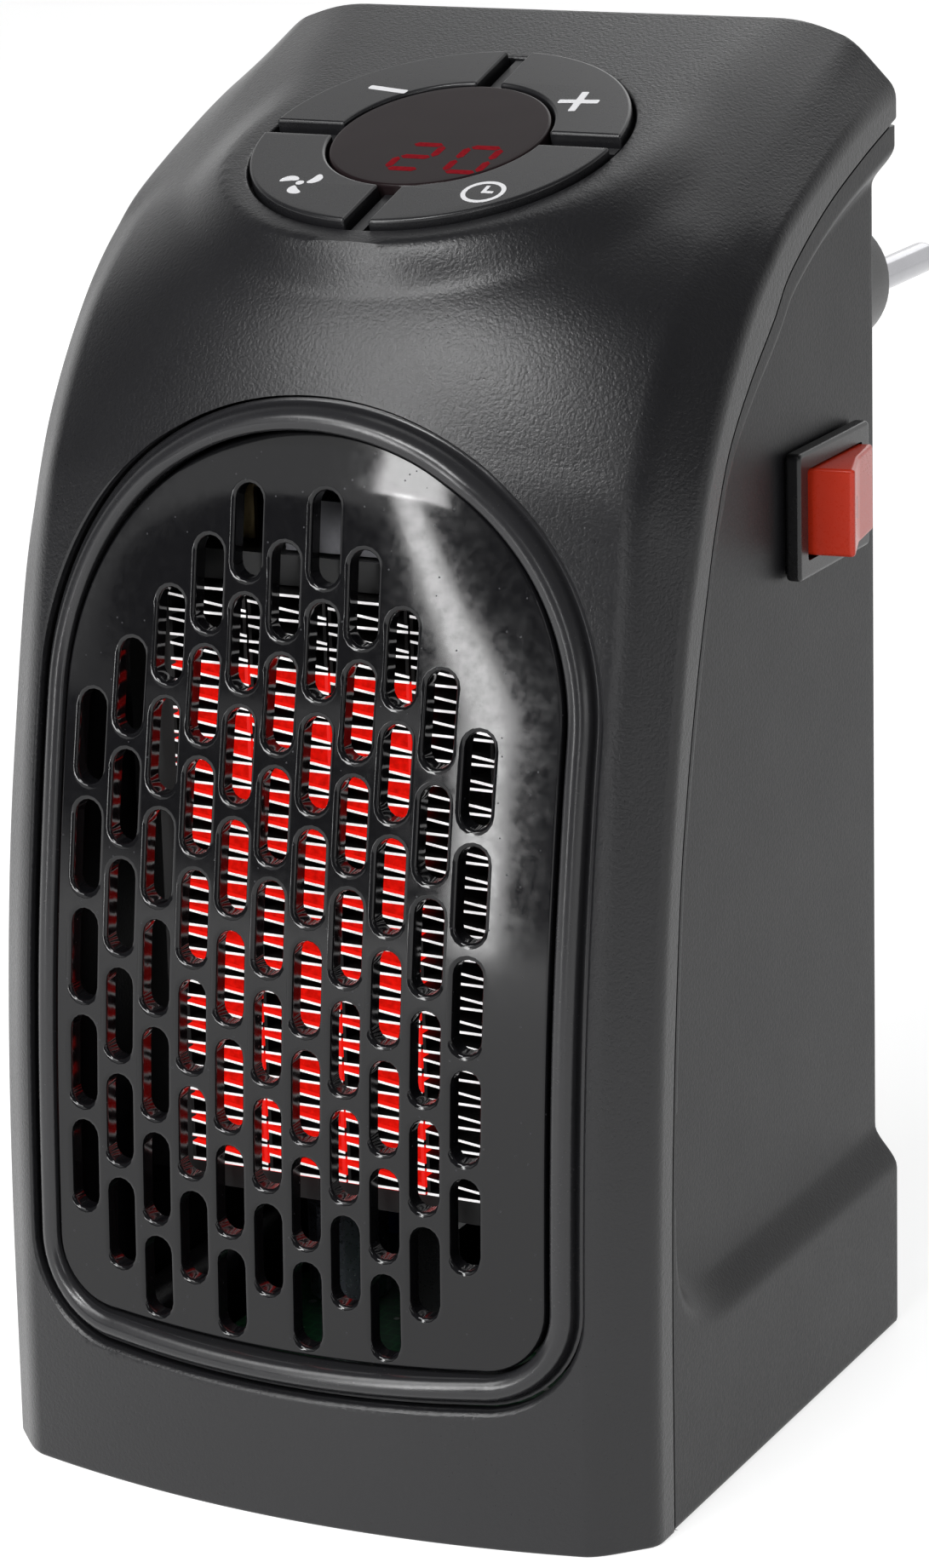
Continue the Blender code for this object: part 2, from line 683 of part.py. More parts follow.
def shell_posts(name, volume):
    """Long posts that reach from the front shell back to the rear shell's bosses."""
    made = []
    for index, (x, z) in enumerate(screw_places()):
        post = cylinder(f"{name}_{index + 1}", POST_RADIUS, -FRONT_DEPTH - OVERRUN,
                        REAR_Y - WALL - BOSS_LENGTH - GAP, depth_frame(x, z), SMALL_SIDES)
        combine(post, volume, 'INTERSECT')
        made.append(as_cutter(post))
    return made


def screw_places():
    return [(x, z) for z in (SCREW_LOW_Z, SCREW_HIGH_Z) for x in (-SCREW_X, SCREW_X)]


def make_front_shell():
    shell = hood_volume("front_shell", 0.0, 0.0, CROWN_STATIONS)
    cavity = as_cutter(hood_volume("front_cavity", WALL, WALL, CROWN_STATIONS))
    limit = as_cutter(hood_volume("post_limit", WALL / 2.0, WALL / 2.0, CROWN_STATIONS))
    behind = parting_region("behind_parting", GAP / 2.0, REAR_Y, 0.0)
    grille = as_cutter(flat_solid("grille_hole", [grille_outline(GRILLE_HOLE)],
                                  -front_at(ARCH_Z + ARCH_HALF_WIDTH + GRILLE_HOLE)[0] - WALL * 3.0,
                                  FRONT_DEPTH + BROW_CROWN + OVERRUN, FRONT_FACING))
    keypad = as_cutter(cylinder("keypad_hole", KEY_HOLE_RADIUS, -WALL * 2.0, OVERRUN, TOP_FACING))
    pocket = as_cutter(cylinder("keypad_pocket", FLOOR_RADIUS + GAP, -BOARD_DEPTH, -WALL - GAP,
                                TOP_FACING))
    cut(shell, cavity, behind, grille, keypad, pocket)
    join(shell, *shell_posts("shell_post", limit))
    bore_start = REAR_Y - WALL - BOSS_LENGTH - GAP
    for index, (x, z) in enumerate(screw_places()):
        bore = cylinder(f"post_bore_{index + 1}", SCREW_RADIUS + GAP, bore_start - SCREW_LENGTH,
                        bore_start + OVERRUN, depth_frame(x, z), SMALL_SIDES)
        cut(shell, as_cutter(bore))
    return finish(shell, HOOD_PLASTIC, smooth=True)


def recess_outline(floor):
    """Outline of the side recess in (y, z), at its rim or at its floor."""
    line = side_curve(PARTING_SHARES)
    run = np.concatenate([[0.0], np.cumsum(np.hypot(*np.diff(line, axis=0).T))])
    if floor:
        widths = (RECESS_SLOPE_LOW, RECESS_SLOPE_LOW, RECESS_SLOPE_BEND, RECESS_SLOPE_REAR)
        ledge = LEDGE_FLOOR_Z
    else:
        middle = (RECESS_RIM_LOW + RECESS_RIM_REAR) / 2.0
        widths = (RECESS_RIM_LOW, RECESS_RIM_LOW, middle, RECESS_RIM_REAR)
        ledge = LEDGE_RIM_Z
    width = np.interp(run / run[-1], RECESS_WIDTH_SHARES, widths)
    edge = line - outward(line) * width[:, None]
    start_z = ledge + LEDGE_CORNER_RISE
    start_y = float(np.interp(start_z, edge[:, 1], edge[:, 0]))
    base_y = float(np.interp(ledge, edge[:, 1], edge[:, 0]))
    first = int(np.searchsorted(line[:, 1], LEDGE_FLOOR_Z + LEDGE_CORNER_RISE)) + 1
    upper = [tuple(point) for point in edge[first:]]
    finish_y = upper[-1][0]
    corner = []
    for share in np.linspace(0.0, 1.0, LEDGE_CORNER_POINTS):
        far = 1.0 - share
        corner.append((far * far * (base_y + LEDGE_CORNER_RUN) + 2.0 * far * share * base_y
                       + share * share * start_y,
                       far * far * ledge + 2.0 * far * share * ledge + share * share * start_z))
    return upper + [(finish_y, ledge)] + corner


def recess_cutter(name, side):
    floor_x = HALF_WIDTH - RECESS_DEPTH
    places = ((floor_x, True), (HALF_WIDTH, False), (HALF_WIDTH + OVERRUN, False))
    rings = [[(side * x, y, z) for y, z in recess_outline(floor)] for x, floor in places]
    return as_cutter(lofted(name, rings))


def intake_outlines():
    outlines = []
    for row in range(INTAKE_ROWS):
        z = INTAKE_Z + (row - (INTAKE_ROWS - 1) / 2) * INTAKE_PITCH
        upright = obround(0.0, -INTAKE_LENGTH / 2.0, INTAKE_LENGTH / 2.0, INTAKE_WIDTH)
        outlines.append([(across, z - rise) for rise, across in upright])
    return outlines


def duct_posts():
    low_z = FAN_Z - DUCT_POST_REACH
    high_z = FAN_Z + DUCT_POST_REACH - DUCT_POST_RADIUS
    return ((-DUCT_POST_X, low_z), (DUCT_POST_X, low_z), (-DUCT_POST_X, high_z))


def duct_plate_back():
    return ELEMENT_FRONT_Y + ELEMENT_DEPTH + WALL + GAP + DUCT_PLATE_THICKNESS


def make_rear_shell():
    shell = hood_volume("rear_shell", 0.0, 0.0, PLAIN_STATIONS)
    ahead = parting_region("ahead_of_parting", -GAP / 2.0, -FRONT_DEPTH, FRONT_DEPTH)
    cavity = as_cutter(hood_volume("rear_cavity", WALL, RECESS_DEPTH + WALL, PLAIN_STATIONS))
    cut(shell, ahead, cavity, recess_cutter("right_recess", 1.0), recess_cutter("left_recess", -1.0))
    inner_y = REAR_Y - WALL
    for index, (x, z) in enumerate(screw_places()):
        boss = cylinder(f"boss_{index + 1}", BOSS_RADIUS, inner_y - BOSS_LENGTH, inner_y + GAP,
                        depth_frame(x, z), PIN_SIDES)
        join(shell, as_cutter(boss))
    for index, (x, z) in enumerate(duct_posts()):
        post = cylinder(f"duct_post_{index + 1}", DUCT_POST_RADIUS, duct_plate_back() + GAP,
                        inner_y + GAP, depth_frame(x, z), SMALL_SIDES)
        join(shell, as_cutter(post))
    for index, (x, y) in enumerate(board_pegs()):
        peg = cylinder(f"board_peg_{index + 1}", PEG_RADIUS, WALL - GAP, POWER_BOARD_Z - GAP,
                       sides=SMALL_SIDES, centre=(x, y))
        join(shell, as_cutter(peg))
    for index, (x, z) in enumerate(screw_places()):
        head = cylinder(f"counterbore_{index + 1}", COUNTERBORE_RADIUS,
                        REAR_Y - COUNTERBORE_DEPTH, REAR_Y + OVERRUN, depth_frame(x, z), PIN_SIDES)
        shank = cylinder(f"screw_hole_{index + 1}", SCREW_RADIUS + GAP,
                         inner_y - BOSS_LENGTH - OVERRUN, REAR_Y, depth_frame(x, z), SMALL_SIDES)
        cut(shell, as_cutter(head), as_cutter(shank))
    switch = as_cutter(box("switch_hole", (OVERRUN * 2.0, SWITCH_BODY[0] + GAP * 2.0,
                                           SWITCH_BODY[1] + GAP * 2.0),
                           (HALF_WIDTH - RECESS_DEPTH, SWITCH_Y, SWITCH_Z)))
    turntable = as_cutter(cylinder("turntable_hole", HUB_RADIUS + GAP, REAR_Y - WALL - OVERRUN,
                                   REAR_Y + OVERRUN, depth_frame(PLUG_X, PLUG_Z)))
    intake = as_cutter(flat_solid("intake_slots", intake_outlines(), REAR_Y - WALL - GAP,
                                  REAR_Y + OVERRUN, DEPTH_FACING))
    cut(shell, switch, turntable, intake)
    return finish(shell, BODY_PLASTIC, smooth=True)


# Grille

def make_grille_panel():
    panel = flat_solid("grille_panel", [grille_outline(0.0)] + slot_outlines(),
                       0.0, PANEL_THICKNESS, FRONT_FACING)
    for vertex in panel.data.vertices:
        x, z, depth = vertex.co
        y, facing, crown = front_at(z)
        bow = crown_height(crown - PANEL_SINK, x, CREASE_HALF_WIDTH)
        vertex.co.z = -y + (PANEL_PROUD + bow) / facing + depth - PANEL_THICKNESS
    return finish(panel, GLOSS_PLASTIC)


def make_grille_bezel():
    rings = []
    for width_share, rise_share in zip(BEZEL_WIDTH_SHARES, BEZEL_RISE_SHARES):
        rise = rise_share * (BEZEL_CREST if rise_share > 0.0 else BEZEL_DEPTH)
        ring = []
        for x, z in grille_outline(width_share * BEZEL_WIDTH):
            y, facing, crown = front_at(z)
            ring.append((x, y - crown_height(crown, x, CREASE_HALF_WIDTH) / facing - rise, z))
        rings.append(ring)
    bezel = lofted("grille_bezel", rings, closed=True)
    return finish(bezel, GLOSS_PLASTIC, smooth=True)


# Keypad

def key_outline(quarter, inset):
    """One quarter of the ring, its sides parallel to the grooves."""
    inner = WINDOW_RADIUS + PANEL_FIT + inset
    outer = KEY_HOLE_RADIUS - PANEL_FIT - inset
    half = KEY_GROOVE / 2.0 + inset
    points = []
    for radius, order in ((inner, 1), (outer, -1)):
        start = math.asin(half / radius)
        angles = np.linspace(start, math.pi / 2.0 - start, 9)[::order]
        points += [(radius * math.cos(a + quarter * math.pi / 2.0),
                    radius * math.sin(a + quarter * math.pi / 2.0)) for a in angles]
    return points


def key_place(quarter):
    radius = (WINDOW_RADIUS + KEY_HOLE_RADIUS) / 2.0
    angle = (quarter + 0.5) * math.pi / 2.0
    return radius * math.cos(angle), radius * math.sin(angle)


def plunger_top():
    return -BOARD_DEPTH + GAP + TACT_HEIGHT + TACT_PLUNGER_HEIGHT


def make_buttons():
    """Each key can sink by its travel before it nears the floor, and its stem the switch."""
    names = ("button_plus", "button_minus", "button_speed", "button_timer")
    underside = -FLOOR_DEPTH + KEY_TRAVEL + GAP
    stem_end = plunger_top() + KEY_TRAVEL + GAP
    for quarter, name in enumerate(names):
        levels = ((0.0, underside), (0.0, KEY_PROUD - KEY_EDGE), (KEY_EDGE, KEY_PROUD))
        rings = [[(x, y, z) for x, y in key_outline(quarter, inset)] for inset, z in levels]
        button = lofted(name, rings, TOP_FACING)
        stem = cylinder(name + "_stem", KEY_STEM_RADIUS, stem_end, underside + GAP,
                        TOP_FACING, SMALL_SIDES, key_place(quarter))
        join(button, as_cutter(stem))
        finish(button, GLOSS_PLASTIC, smooth=True)


def make_keypad_frame():
    floor_low = -FLOOR_DEPTH - FLOOR_THICKNESS
    rim_top = -WALL - 2.0 * GAP
    rim_inner = KEY_HOLE_RADIUS + PANEL_FIT
    seat_top = WINDOW_PROUD - WINDOW_THICKNESS - GAP
    seat_inner = SEAT_RADIUS - SEAT_WALL
    profile = ((FLOOR_RADIUS, rim_top), (FLOOR_RADIUS, floor_low), (FLOOR_HOLE_RADIUS, floor_low),
               (FLOOR_HOLE_RADIUS, -FLOOR_DEPTH), (seat_inner, -FLOOR_DEPTH), (seat_inner, seat_top),
               (SEAT_RADIUS, seat_top), (SEAT_RADIUS, -FLOOR_DEPTH), (rim_inner, -FLOOR_DEPTH),
               (rim_inner, rim_top))
    frame = turned("keypad_frame", profile, TOP_FACING)
    start = WINDOW_RADIUS + PANEL_FIT
    end = KEY_HOLE_RADIUS - PANEL_FIT
    for index in range(4):
        turn = TOP_FACING @ Matrix.Rotation(index * math.pi / 2.0, 4, 'Z')
        rib = box(f"keypad_rib_{index + 1}", (end - start, KEY_RIB, FLOOR_DEPTH),
                  ((start + end) / 2.0, 0.0, -GAP - FLOOR_DEPTH / 2.0), turn)
        join(frame, as_cutter(rib))
    for index in range(4):
        hole = cylinder(f"stem_hole_{index + 1}", KEY_STEM_RADIUS + GAP, floor_low - OVERRUN,
                        -FLOOR_DEPTH + GAP, TOP_FACING, SMALL_SIDES, key_place(index))
        cut(frame, as_cutter(hole))
    for index in range(4):
        x = STANDOFF_X if index in (0, 3) else -STANDOFF_X
        y = STANDOFF_Y if index in (0, 1) else -STANDOFF_Y
        standoff = cylinder(f"board_standoff_{index + 1}", STANDOFF_RADIUS, -BOARD_DEPTH + GAP,
                            floor_low + GAP, TOP_FACING, SMALL_SIDES, (x, y))
        join(frame, as_cutter(standoff))
    return finish(frame, BODY_PLASTIC)


def make_display():
    window = cylinder("display_window", WINDOW_RADIUS, WINDOW_PROUD - WINDOW_THICKNESS, WINDOW_PROUD,
                      TOP_FACING)
    soften(window, KEY_EDGE)
    finish(window, SMOKED_PLASTIC, smooth=True)
    low = -BOARD_DEPTH + GAP
    high = WINDOW_PROUD - WINDOW_THICKNESS - 2.0 * GAP
    module = box("led_display", (LED_SIZE[0], LED_SIZE[1], high - low),
                 (0.0, 0.0, (low + high) / 2.0), TOP_FACING)
    finish(module, DARK_PLASTIC)


def make_control_board():
    board = flat_solid("control_board", [rectangle(CONTROL_BOARD_SIZE)],
                       -BOARD_DEPTH - BOARD_THICKNESS, -BOARD_DEPTH, TOP_FACING)
    finish(board, BOARD_GREEN)
    for quarter in range(4):
        x, y = key_place(quarter)
        low = -BOARD_DEPTH + GAP
        switch = box(f"tact_switch_{quarter + 1}", (TACT_SIZE, TACT_SIZE, TACT_HEIGHT),
                     (x, y, low + TACT_HEIGHT / 2.0), TOP_FACING)
        plunger = cylinder(f"tact_plunger_{quarter + 1}", TACT_PLUNGER_RADIUS, low + TACT_HEIGHT - GAP,
                           plunger_top(), TOP_FACING, SMALL_SIDES, (x, y))
        join(switch, as_cutter(plunger))
        finish(switch, STEEL)


# Rocker switch

def switch_face_x():
    return HALF_WIDTH - RECESS_DEPTH + GAP + SWITCH_BEZEL_THICKNESS


def switch_frame():
    """Local Z points out of the switch's face, local X along +Y and local Y along +Z."""
    return Matrix.Translation((switch_face_x(), SWITCH_Y, SWITCH_Z)) @ SIDE_FACING


def make_switch():
    frame = switch_frame()
    panel = -SWITCH_BEZEL_THICKNESS
    back = panel - SWITCH_BODY_DEPTH
    housing = flat_solid("switch_housing", [rectangle(SWITCH_BEZEL)], panel, 0.0, frame)
    soften(housing, SWITCH_BEZEL_EDGE)
    body = flat_solid("switch_body", [rectangle(SWITCH_BODY)], back, panel + GAP, frame)
    join(housing, as_cutter(body))
    cavity = flat_solid("switch_cavity", [rectangle(SWITCH_OPENING)], -SWITCH_CAVITY_DEPTH, OVERRUN,
                        frame)
    pivot = frame @ Matrix.Translation((0.0, 0.0, -ROCKER_PIVOT_DEPTH)) @ Matrix.Rotation(
        math.pi / 2.0, 4, 'X')
    reach = SWITCH_OPENING[1] / 2.0 - ROCKER_SIDE_GAP + ROCKER_PIN_LENGTH
    bore = cylinder("pivot_bore", ROCKER_PIN_RADIUS + GAP, -reach - GAP, reach + GAP, pivot, PIN_SIDES)
    cut(housing, as_cutter(cavity), as_cutter(bore))
    finish(housing, DARK_PLASTIC)
    make_rocker(frame, reach)
    for index in range(2):
        offset = (index - 0.5) * TAB_SPACING
        tab = box(f"switch_tab_{index + 1}", TAB_SIZE,
                  (switch_face_x() + back - GAP - TAB_SIZE[0] / 2.0, SWITCH_Y + offset, SWITCH_Z))
        finish(tab, BRASS)


def make_rocker(frame, reach):
    """Rocker at rest in its ON position, its front end raised; its origin is on its pivot."""
    rise = ROCKER_HALF_LENGTH * math.tan(ROCKER_VEE)
    top = ROCKER_PIVOT_DEPTH + ROCKER_HEIGHT
    foot = ROCKER_PIVOT_DEPTH - ROCKER_FOOT_DEPTH
    profile = [(-ROCKER_FOOT_HALF_LENGTH, foot), (ROCKER_FOOT_HALF_LENGTH, foot),
               (ROCKER_HALF_LENGTH, top + rise), (0.0, top), (-ROCKER_HALF_LENGTH, top + rise)]
    half_width = SWITCH_OPENING[1] / 2.0 - ROCKER_SIDE_GAP
    turn = Matrix.Rotation(ROCKER_TILT, 4, 'Y')
    lie_down = Matrix.Rotation(math.pi / 2.0, 4, 'X')
    pivot = frame @ Matrix.Translation((0.0, 0.0, -ROCKER_PIVOT_DEPTH)) @ turn @ lie_down
    rocker = flat_solid("rocker", [profile], -half_width, half_width, pivot)
    soften(rocker, ROCKER_EDGE)
    pin = cylinder("rocker_pin", ROCKER_PIN_RADIUS, -reach, reach, pivot, PIN_SIDES)
    join(rocker, as_cutter(pin))
    finish(rocker, RED_PLASTIC)


# Mains plug

def make_plug():
    frame = depth_frame(PLUG_X, PLUG_Z)
    face = REAR_Y + GAP
    flange = face + TURNTABLE_THICKNESS
    turntable = cylinder("plug_turntable", TURNTABLE_RADIUS, face, flange, frame)
    hub = cylinder("turntable_hub", HUB_RADIUS, REAR_Y - WALL - HUB_DEPTH, face + GAP, frame)
    join(turntable, as_cutter(hub))
    finish(turntable, BODY_PLASTIC, smooth=True)
    nose_y = REAR_Y + NECK_LENGTH
    waist = flange + (nose_y - flange) * NECK_WAIST_SHARE
    start = flange + GAP
    rings = []
    for size, y in ((NECK_BASE, start), (NECK_NOSE, waist), (NECK_NOSE, nose_y)):
        outline = rounded_rectangle(size, NECK_NOSE[1] / 2.0 - GAP)
        rings.append([(x, z, y) for x, z in outline])
    neck = lofted("plug_neck", rings, frame)
    for index, side in enumerate((-1.0, 1.0)):
        x = side * PIN_SPACING / 2.0
        bore = cylinder(f"pin_bore_{index + 1}", PIN_RADIUS + GAP, nose_y - PIN_ROOT - GAP,
                        nose_y + OVERRUN, frame, PIN_SIDES, (x, 0.0))
        cut(neck, as_cutter(bore))
        pin = cylinder(f"plug_pin_{index + 1}", PIN_RADIUS, nose_y - PIN_ROOT, nose_y + PIN_LENGTH,
                       frame, PIN_SIDES, (x, 0.0))
        soften(pin, PIN_TIP, segments=2)
        finish(pin, CHROME, smooth=True)
    finish(neck, BODY_PLASTIC, smooth=True)
    high = REAR_Y - WALL - GAP
    low = high - RETAINER_THICKNESS
    inner = HUB_RADIUS + GAP
    ring = turned("turntable_retainer", ((RETAINER_RADIUS, high), (RETAINER_RADIUS, low), (inner, low),
                                         (inner, high)), frame)
    finish(ring, DARK_PLASTIC)


# Heating element

def fin_outline(left, right, top):
    """A folded ribbon seen from the front: level legs joined to slanting ones by upright folds."""
    pitch = (FIN_HEIGHT - FIN_SHEET) / FIN_PITCHES
    half = FIN_SHEET / 2.0
    near = FOLD_SHARES[0] * pitch
    far = FOLD_SHARES[1] * pitch
    upper = []
    lower = []
    for fold in range(FIN_PITCHES + 1):
        z = top - fold * pitch
        upper.append((left, z + half) if not fold else (left + FIN_SHEET, z + half))
        lower.append((left, z - half))
        if fold < FIN_PITCHES:
            upper += [(right, z + half), (right, z - far - half), (left + FIN_SHEET, z - near - half)]
            lower += [(right - FIN_SHEET, z - half), (right - FIN_SHEET, z - far + half),
                      (left, z - near + half)]
        else:
            upper += [(right, z + half), (right, z - half)]
    return upper + lower[::-1]


def element_width():
    return FIN_STRIPS * (FIN_WIDTH + GAP) - GAP


def make_element():
    top = ELEMENT_Z + FIN_HEIGHT / 2.0 - FIN_SHEET / 2.0
    front = -ELEMENT_FRONT_Y
    start = -element_width() / 2.0
    for index in range(FIN_STRIPS):
        left = start + index * (FIN_WIDTH + GAP)
        strip = flat_solid(f"fin_strip_{index + 1}", [fin_outline(left, left + FIN_WIDTH, top)],
                           front - FIN_DEPTH, front, FRONT_FACING)
        finish(strip, ALUMINIUM)
    bar_step = (element_width() - PTC_WIDTH) / FIN_STRIPS
    bar_y = ELEMENT_FRONT_Y + FIN_DEPTH + GAP + PTC_DEPTH / 2.0
    for index in range(FIN_STRIPS + 1):
        middle = start + PTC_WIDTH / 2.0 + index * bar_step
        bar = box(f"ptc_bar_{index + 1}", (PTC_WIDTH, PTC_DEPTH, FIN_HEIGHT), (middle, bar_y, ELEMENT_Z))
        finish(bar, ALUMINIUM)
    inner = (element_width() + 2.0 * GAP, FIN_HEIGHT + 2.0 * GAP)
    outer = (inner[0] + 2.0 * FRAME_RIM, inner[1] + 2.0 * FRAME_RIM)
    centre = (0.0, ELEMENT_Z)
    frame = flat_solid("element_frame", [rectangle(outer, centre), rectangle(inner, centre)],
                       front - ELEMENT_DEPTH - WALL, front - FRAME_SETBACK, FRONT_FACING)
    finish(frame, DARK_PLASTIC)
    frame_top = ELEMENT_Z + outer[1] / 2.0 + GAP
    middle_y = ELEMENT_FRONT_Y + (ELEMENT_DEPTH + WALL + FRAME_SETBACK) / 2.0
    thermal = box("thermal_cutout", CUTOUT_SIZE, (0.0, middle_y, frame_top + CUTOUT_SIZE[2] / 2.0))
    finish(thermal, DARK_PLASTIC)
    for index, side in enumerate((-1.0, 1.0)):
        terminal = box(f"element_terminal_{index + 1}", TERMINAL_SIZE,
                       (side * TERMINAL_X, middle_y, frame_top + TERMINAL_SIZE[2] / 2.0))
        finish(terminal, BRASS)


# Fan

def make_duct():
    back = duct_plate_back()
    centre = (0.0, FAN_Z)
    duct = flat_solid("fan_duct", [rectangle(DUCT_PLATE, centre), circle(DUCT_BORE_RADIUS, centre)],
                      back - DUCT_PLATE_THICKNESS, back, DEPTH_FACING)
    axis = depth_frame(0.0, FAN_Z)
    outer = DUCT_BORE_RADIUS + DUCT_WALL
    low = back - DUCT_PLATE_THICKNESS / 2.0
    high = back + DUCT_LENGTH
    wall = flat_solid("duct_wall", [circle(outer), circle(DUCT_BORE_RADIUS)], low, high, axis)
    cup_inner = MOTOR_RADIUS + GAP
    cup_outer = cup_inner + CUP_WALL
    cup = flat_solid("motor_cup", [circle(cup_outer), circle(cup_inner)], high - CUP_DEPTH, high, axis)
    arms = []
    for index in range(ARM_COUNT):
        turn = axis @ Matrix.Rotation(math.pi / 2.0 + 2.0 * math.pi * index / ARM_COUNT, 4, 'Z')
        start = cup_outer - CUP_WALL / 2.0
        end = outer - DUCT_WALL / 2.0
        arm = box(f"motor_arm_{index + 1}", (end - start, ARM_WIDTH, ARM_WIDTH),
                  ((start + end) / 2.0, 0.0, high - ARM_WIDTH / 2.0 - GAP), turn)
        arms.append(as_cutter(arm))
    join(duct, as_cutter(wall), *arms, as_cutter(cup))
    return finish(duct, BODY_PLASTIC)


def blade_rings(turn):
    rings = []
    for share in np.linspace(0.0, 1.0, BLADE_SECTIONS):
        start = ROTOR_HUB_RADIUS - BLADE_THICKNESS
        radius = start + (BLADE_TIP_RADIUS - start) * share
        angle = BLADE_ROOT_ANGLE + (BLADE_TIP_ANGLE - BLADE_ROOT_ANGLE) * share
        ring = []
        for along, across in ((-0.5, -0.5), (0.5, -0.5), (0.5, 0.5), (-0.5, 0.5)):
            chord = along * BLADE_CHORD
            thick = across * BLADE_THICKNESS
            side = chord * math.cos(angle) - thick * math.sin(angle)
            rise = chord * math.sin(angle) + thick * math.cos(angle)
            reach = math.sqrt(max(radius ** 2 - side ** 2, 0.0))
            ring.append(turn @ Vector((reach, side, rise)))
        rings.append(ring)
    return rings


def make_fan():
    axis = depth_frame(0.0, FAN_Z)
    middle = ROTOR_FRONT_Y + ROTOR_DEPTH / 2.0
    frame = axis @ Matrix.Translation((0.0, 0.0, middle))
    half = ROTOR_DEPTH / 2.0
    rotor = cylinder("fan_rotor", ROTOR_HUB_RADIUS, -half, half, frame)
    for index in range(BLADE_COUNT):
        turn = Matrix.Rotation(2.0 * math.pi * index / BLADE_COUNT, 4, 'Z')
        join(rotor, as_cutter(lofted(f"blade_{index + 1}", blade_rings(turn), frame)))
    bore = cylinder("rotor_bore", SHAFT_RADIUS + GAP, -half + WALL, half + OVERRUN, frame, SMALL_SIDES)
    cut(rotor, as_cutter(bore))
    finish(rotor, DARK_PLASTIC)
    shaft = cylinder("motor_shaft", SHAFT_RADIUS, ROTOR_FRONT_Y + WALL + GAP, MOTOR_FRONT_Y - GAP,
                     axis, SMALL_SIDES)
    finish(shaft, STEEL, smooth=True)
    motor = cylinder("fan_motor", MOTOR_RADIUS, MOTOR_FRONT_Y, MOTOR_FRONT_Y + MOTOR_LENGTH, axis)
    soften(motor, KEY_EDGE)
    finish(motor, STEEL, smooth=True)


# Power board

def board_pegs():
    half_x = POWER_BOARD_SIZE[0] / 2.0 - PEG_INSET
    half_y = POWER_BOARD_SIZE[1] / 2.0 - PEG_INSET
    return [(x, POWER_BOARD_Y + y) for x in (-half_x, half_x) for y in (-half_y, half_y)]


def board_top():
    return POWER_BOARD_Z + POWER_BOARD_THICKNESS + GAP


def make_power_board():
    board = flat_solid("power_board", [rectangle(POWER_BOARD_SIZE, (0.0, POWER_BOARD_Y))],
                       POWER_BOARD_Z, POWER_BOARD_Z + POWER_BOARD_THICKNESS, BASE_FACING)
    finish(board, BOARD_GREEN)
    low = board_top()
    relay = box("relay", RELAY_SIZE, (COMPONENT_STEP, POWER_BOARD_Y, low + RELAY_SIZE[2] / 2.0))
    finish(relay, DARK_PLASTIC)
    film = box("film_capacitor", FILM_CAPACITOR_SIZE,
               (0.0, POWER_BOARD_Y, low + FILM_CAPACITOR_SIZE[2] / 2.0))
    finish(film, RED_PLASTIC)
    can = cylinder("smoothing_capacitor", CAN_RADIUS, low, low + CAN_HEIGHT, sides=PIN_SIDES,
                   centre=(-COMPONENT_STEP, POWER_BOARD_Y))
    finish(can, STEEL, smooth=True)


# Screws and wires

def make_screws():
    head_low = REAR_Y - COUNTERBORE_DEPTH + GAP
    shank_low = head_low - SCREW_LENGTH
    for index, (x, z) in enumerate(screw_places()):
        screw = turned(f"shell_screw_{index + 1}",
                       ((0.0, head_low + SCREW_HEAD_HEIGHT),
                        (SCREW_HEAD_RADIUS, head_low + SCREW_HEAD_HEIGHT),
                        (SCREW_HEAD_RADIUS, head_low), (SCREW_RADIUS, head_low),
                        (SCREW_RADIUS, shank_low), (0.0, shank_low)),
                       depth_frame(x, z), SMALL_SIDES, ring=False)
        finish(screw, STEEL, smooth=True)


def wire(name, start, start_way, end, end_way, bend, colour):
    """A soft bend that leaves one part and reaches another along the given ways."""
    first = Vector(start)
    last = Vector(end)
    leave = first + Vector(start_way).normalized() * bend
    arrive = last + Vector(end_way).normalized() * bend
    curve = bpy.data.curves.new(name, 'CURVE')
    curve.dimensions = '3D'
    curve.bevel_depth = WIRE_RADIUS
    curve.bevel_resolution = 1
    curve.use_fill_caps = True
    spline = curve.splines.new('POLY')
    spline.points.add(WIRE_POINTS - 1)
    for point, share in zip(spline.points, np.linspace(0.0, 1.0, WIRE_POINTS)):
        far = 1.0 - share
        place = (first * far ** 3 + leave * 3.0 * far ** 2 * share
                 + arrive * 3.0 * far * share ** 2 + last * share ** 3)
        point.co = (*place, 1.0)
    made = bpy.data.objects.new(name, curve)
    PARTS.objects.link(made)
    curve.materials.append(colour)


def make_wires():
    hub_y = REAR_Y - WALL - HUB_DEPTH - GAP - WIRE_RADIUS
    tab_x = switch_face_x() - SWITCH_BEZEL_THICKNESS - SWITCH_BODY_DEPTH - TAB_SIZE[0] - 2.0 * GAP
    tab_y = TAB_SPACING / 2.0
    wire("wire_live", (PLUG_X, hub_y, PLUG_Z), (0.0, -1.0, 0.0),
         (tab_x, SWITCH_Y + tab_y, SWITCH_Z), (-1.0, 0.0, 0.0), WIRE_BEND, BROWN_PLASTIC)
    edge_x = POWER_BOARD_SIZE[0] / 2.0 - PEG_INSET
    board_y = POWER_BOARD_Y + POWER_BOARD_SIZE[1] / 2.0 - PEG_INSET
    wire("wire_switched", (tab_x, SWITCH_Y - tab_y, SWITCH_Z), (-1.0, 0.0, 0.0),
         (edge_x, board_y, board_top()), (0.0, 0.0, 1.0), WIRE_BEND, BROWN_PLASTIC)
    wire("wire_neutral", (PLUG_X - HUB_RADIUS / 2.0, hub_y, PLUG_Z - HUB_RADIUS / 2.0),
         (-1.0, -1.0, 0.0), (-edge_x, board_y, board_top()), (0.0, 0.0, 1.0), WIRE_SWEEP, BLUE_PLASTIC)


# Assembly

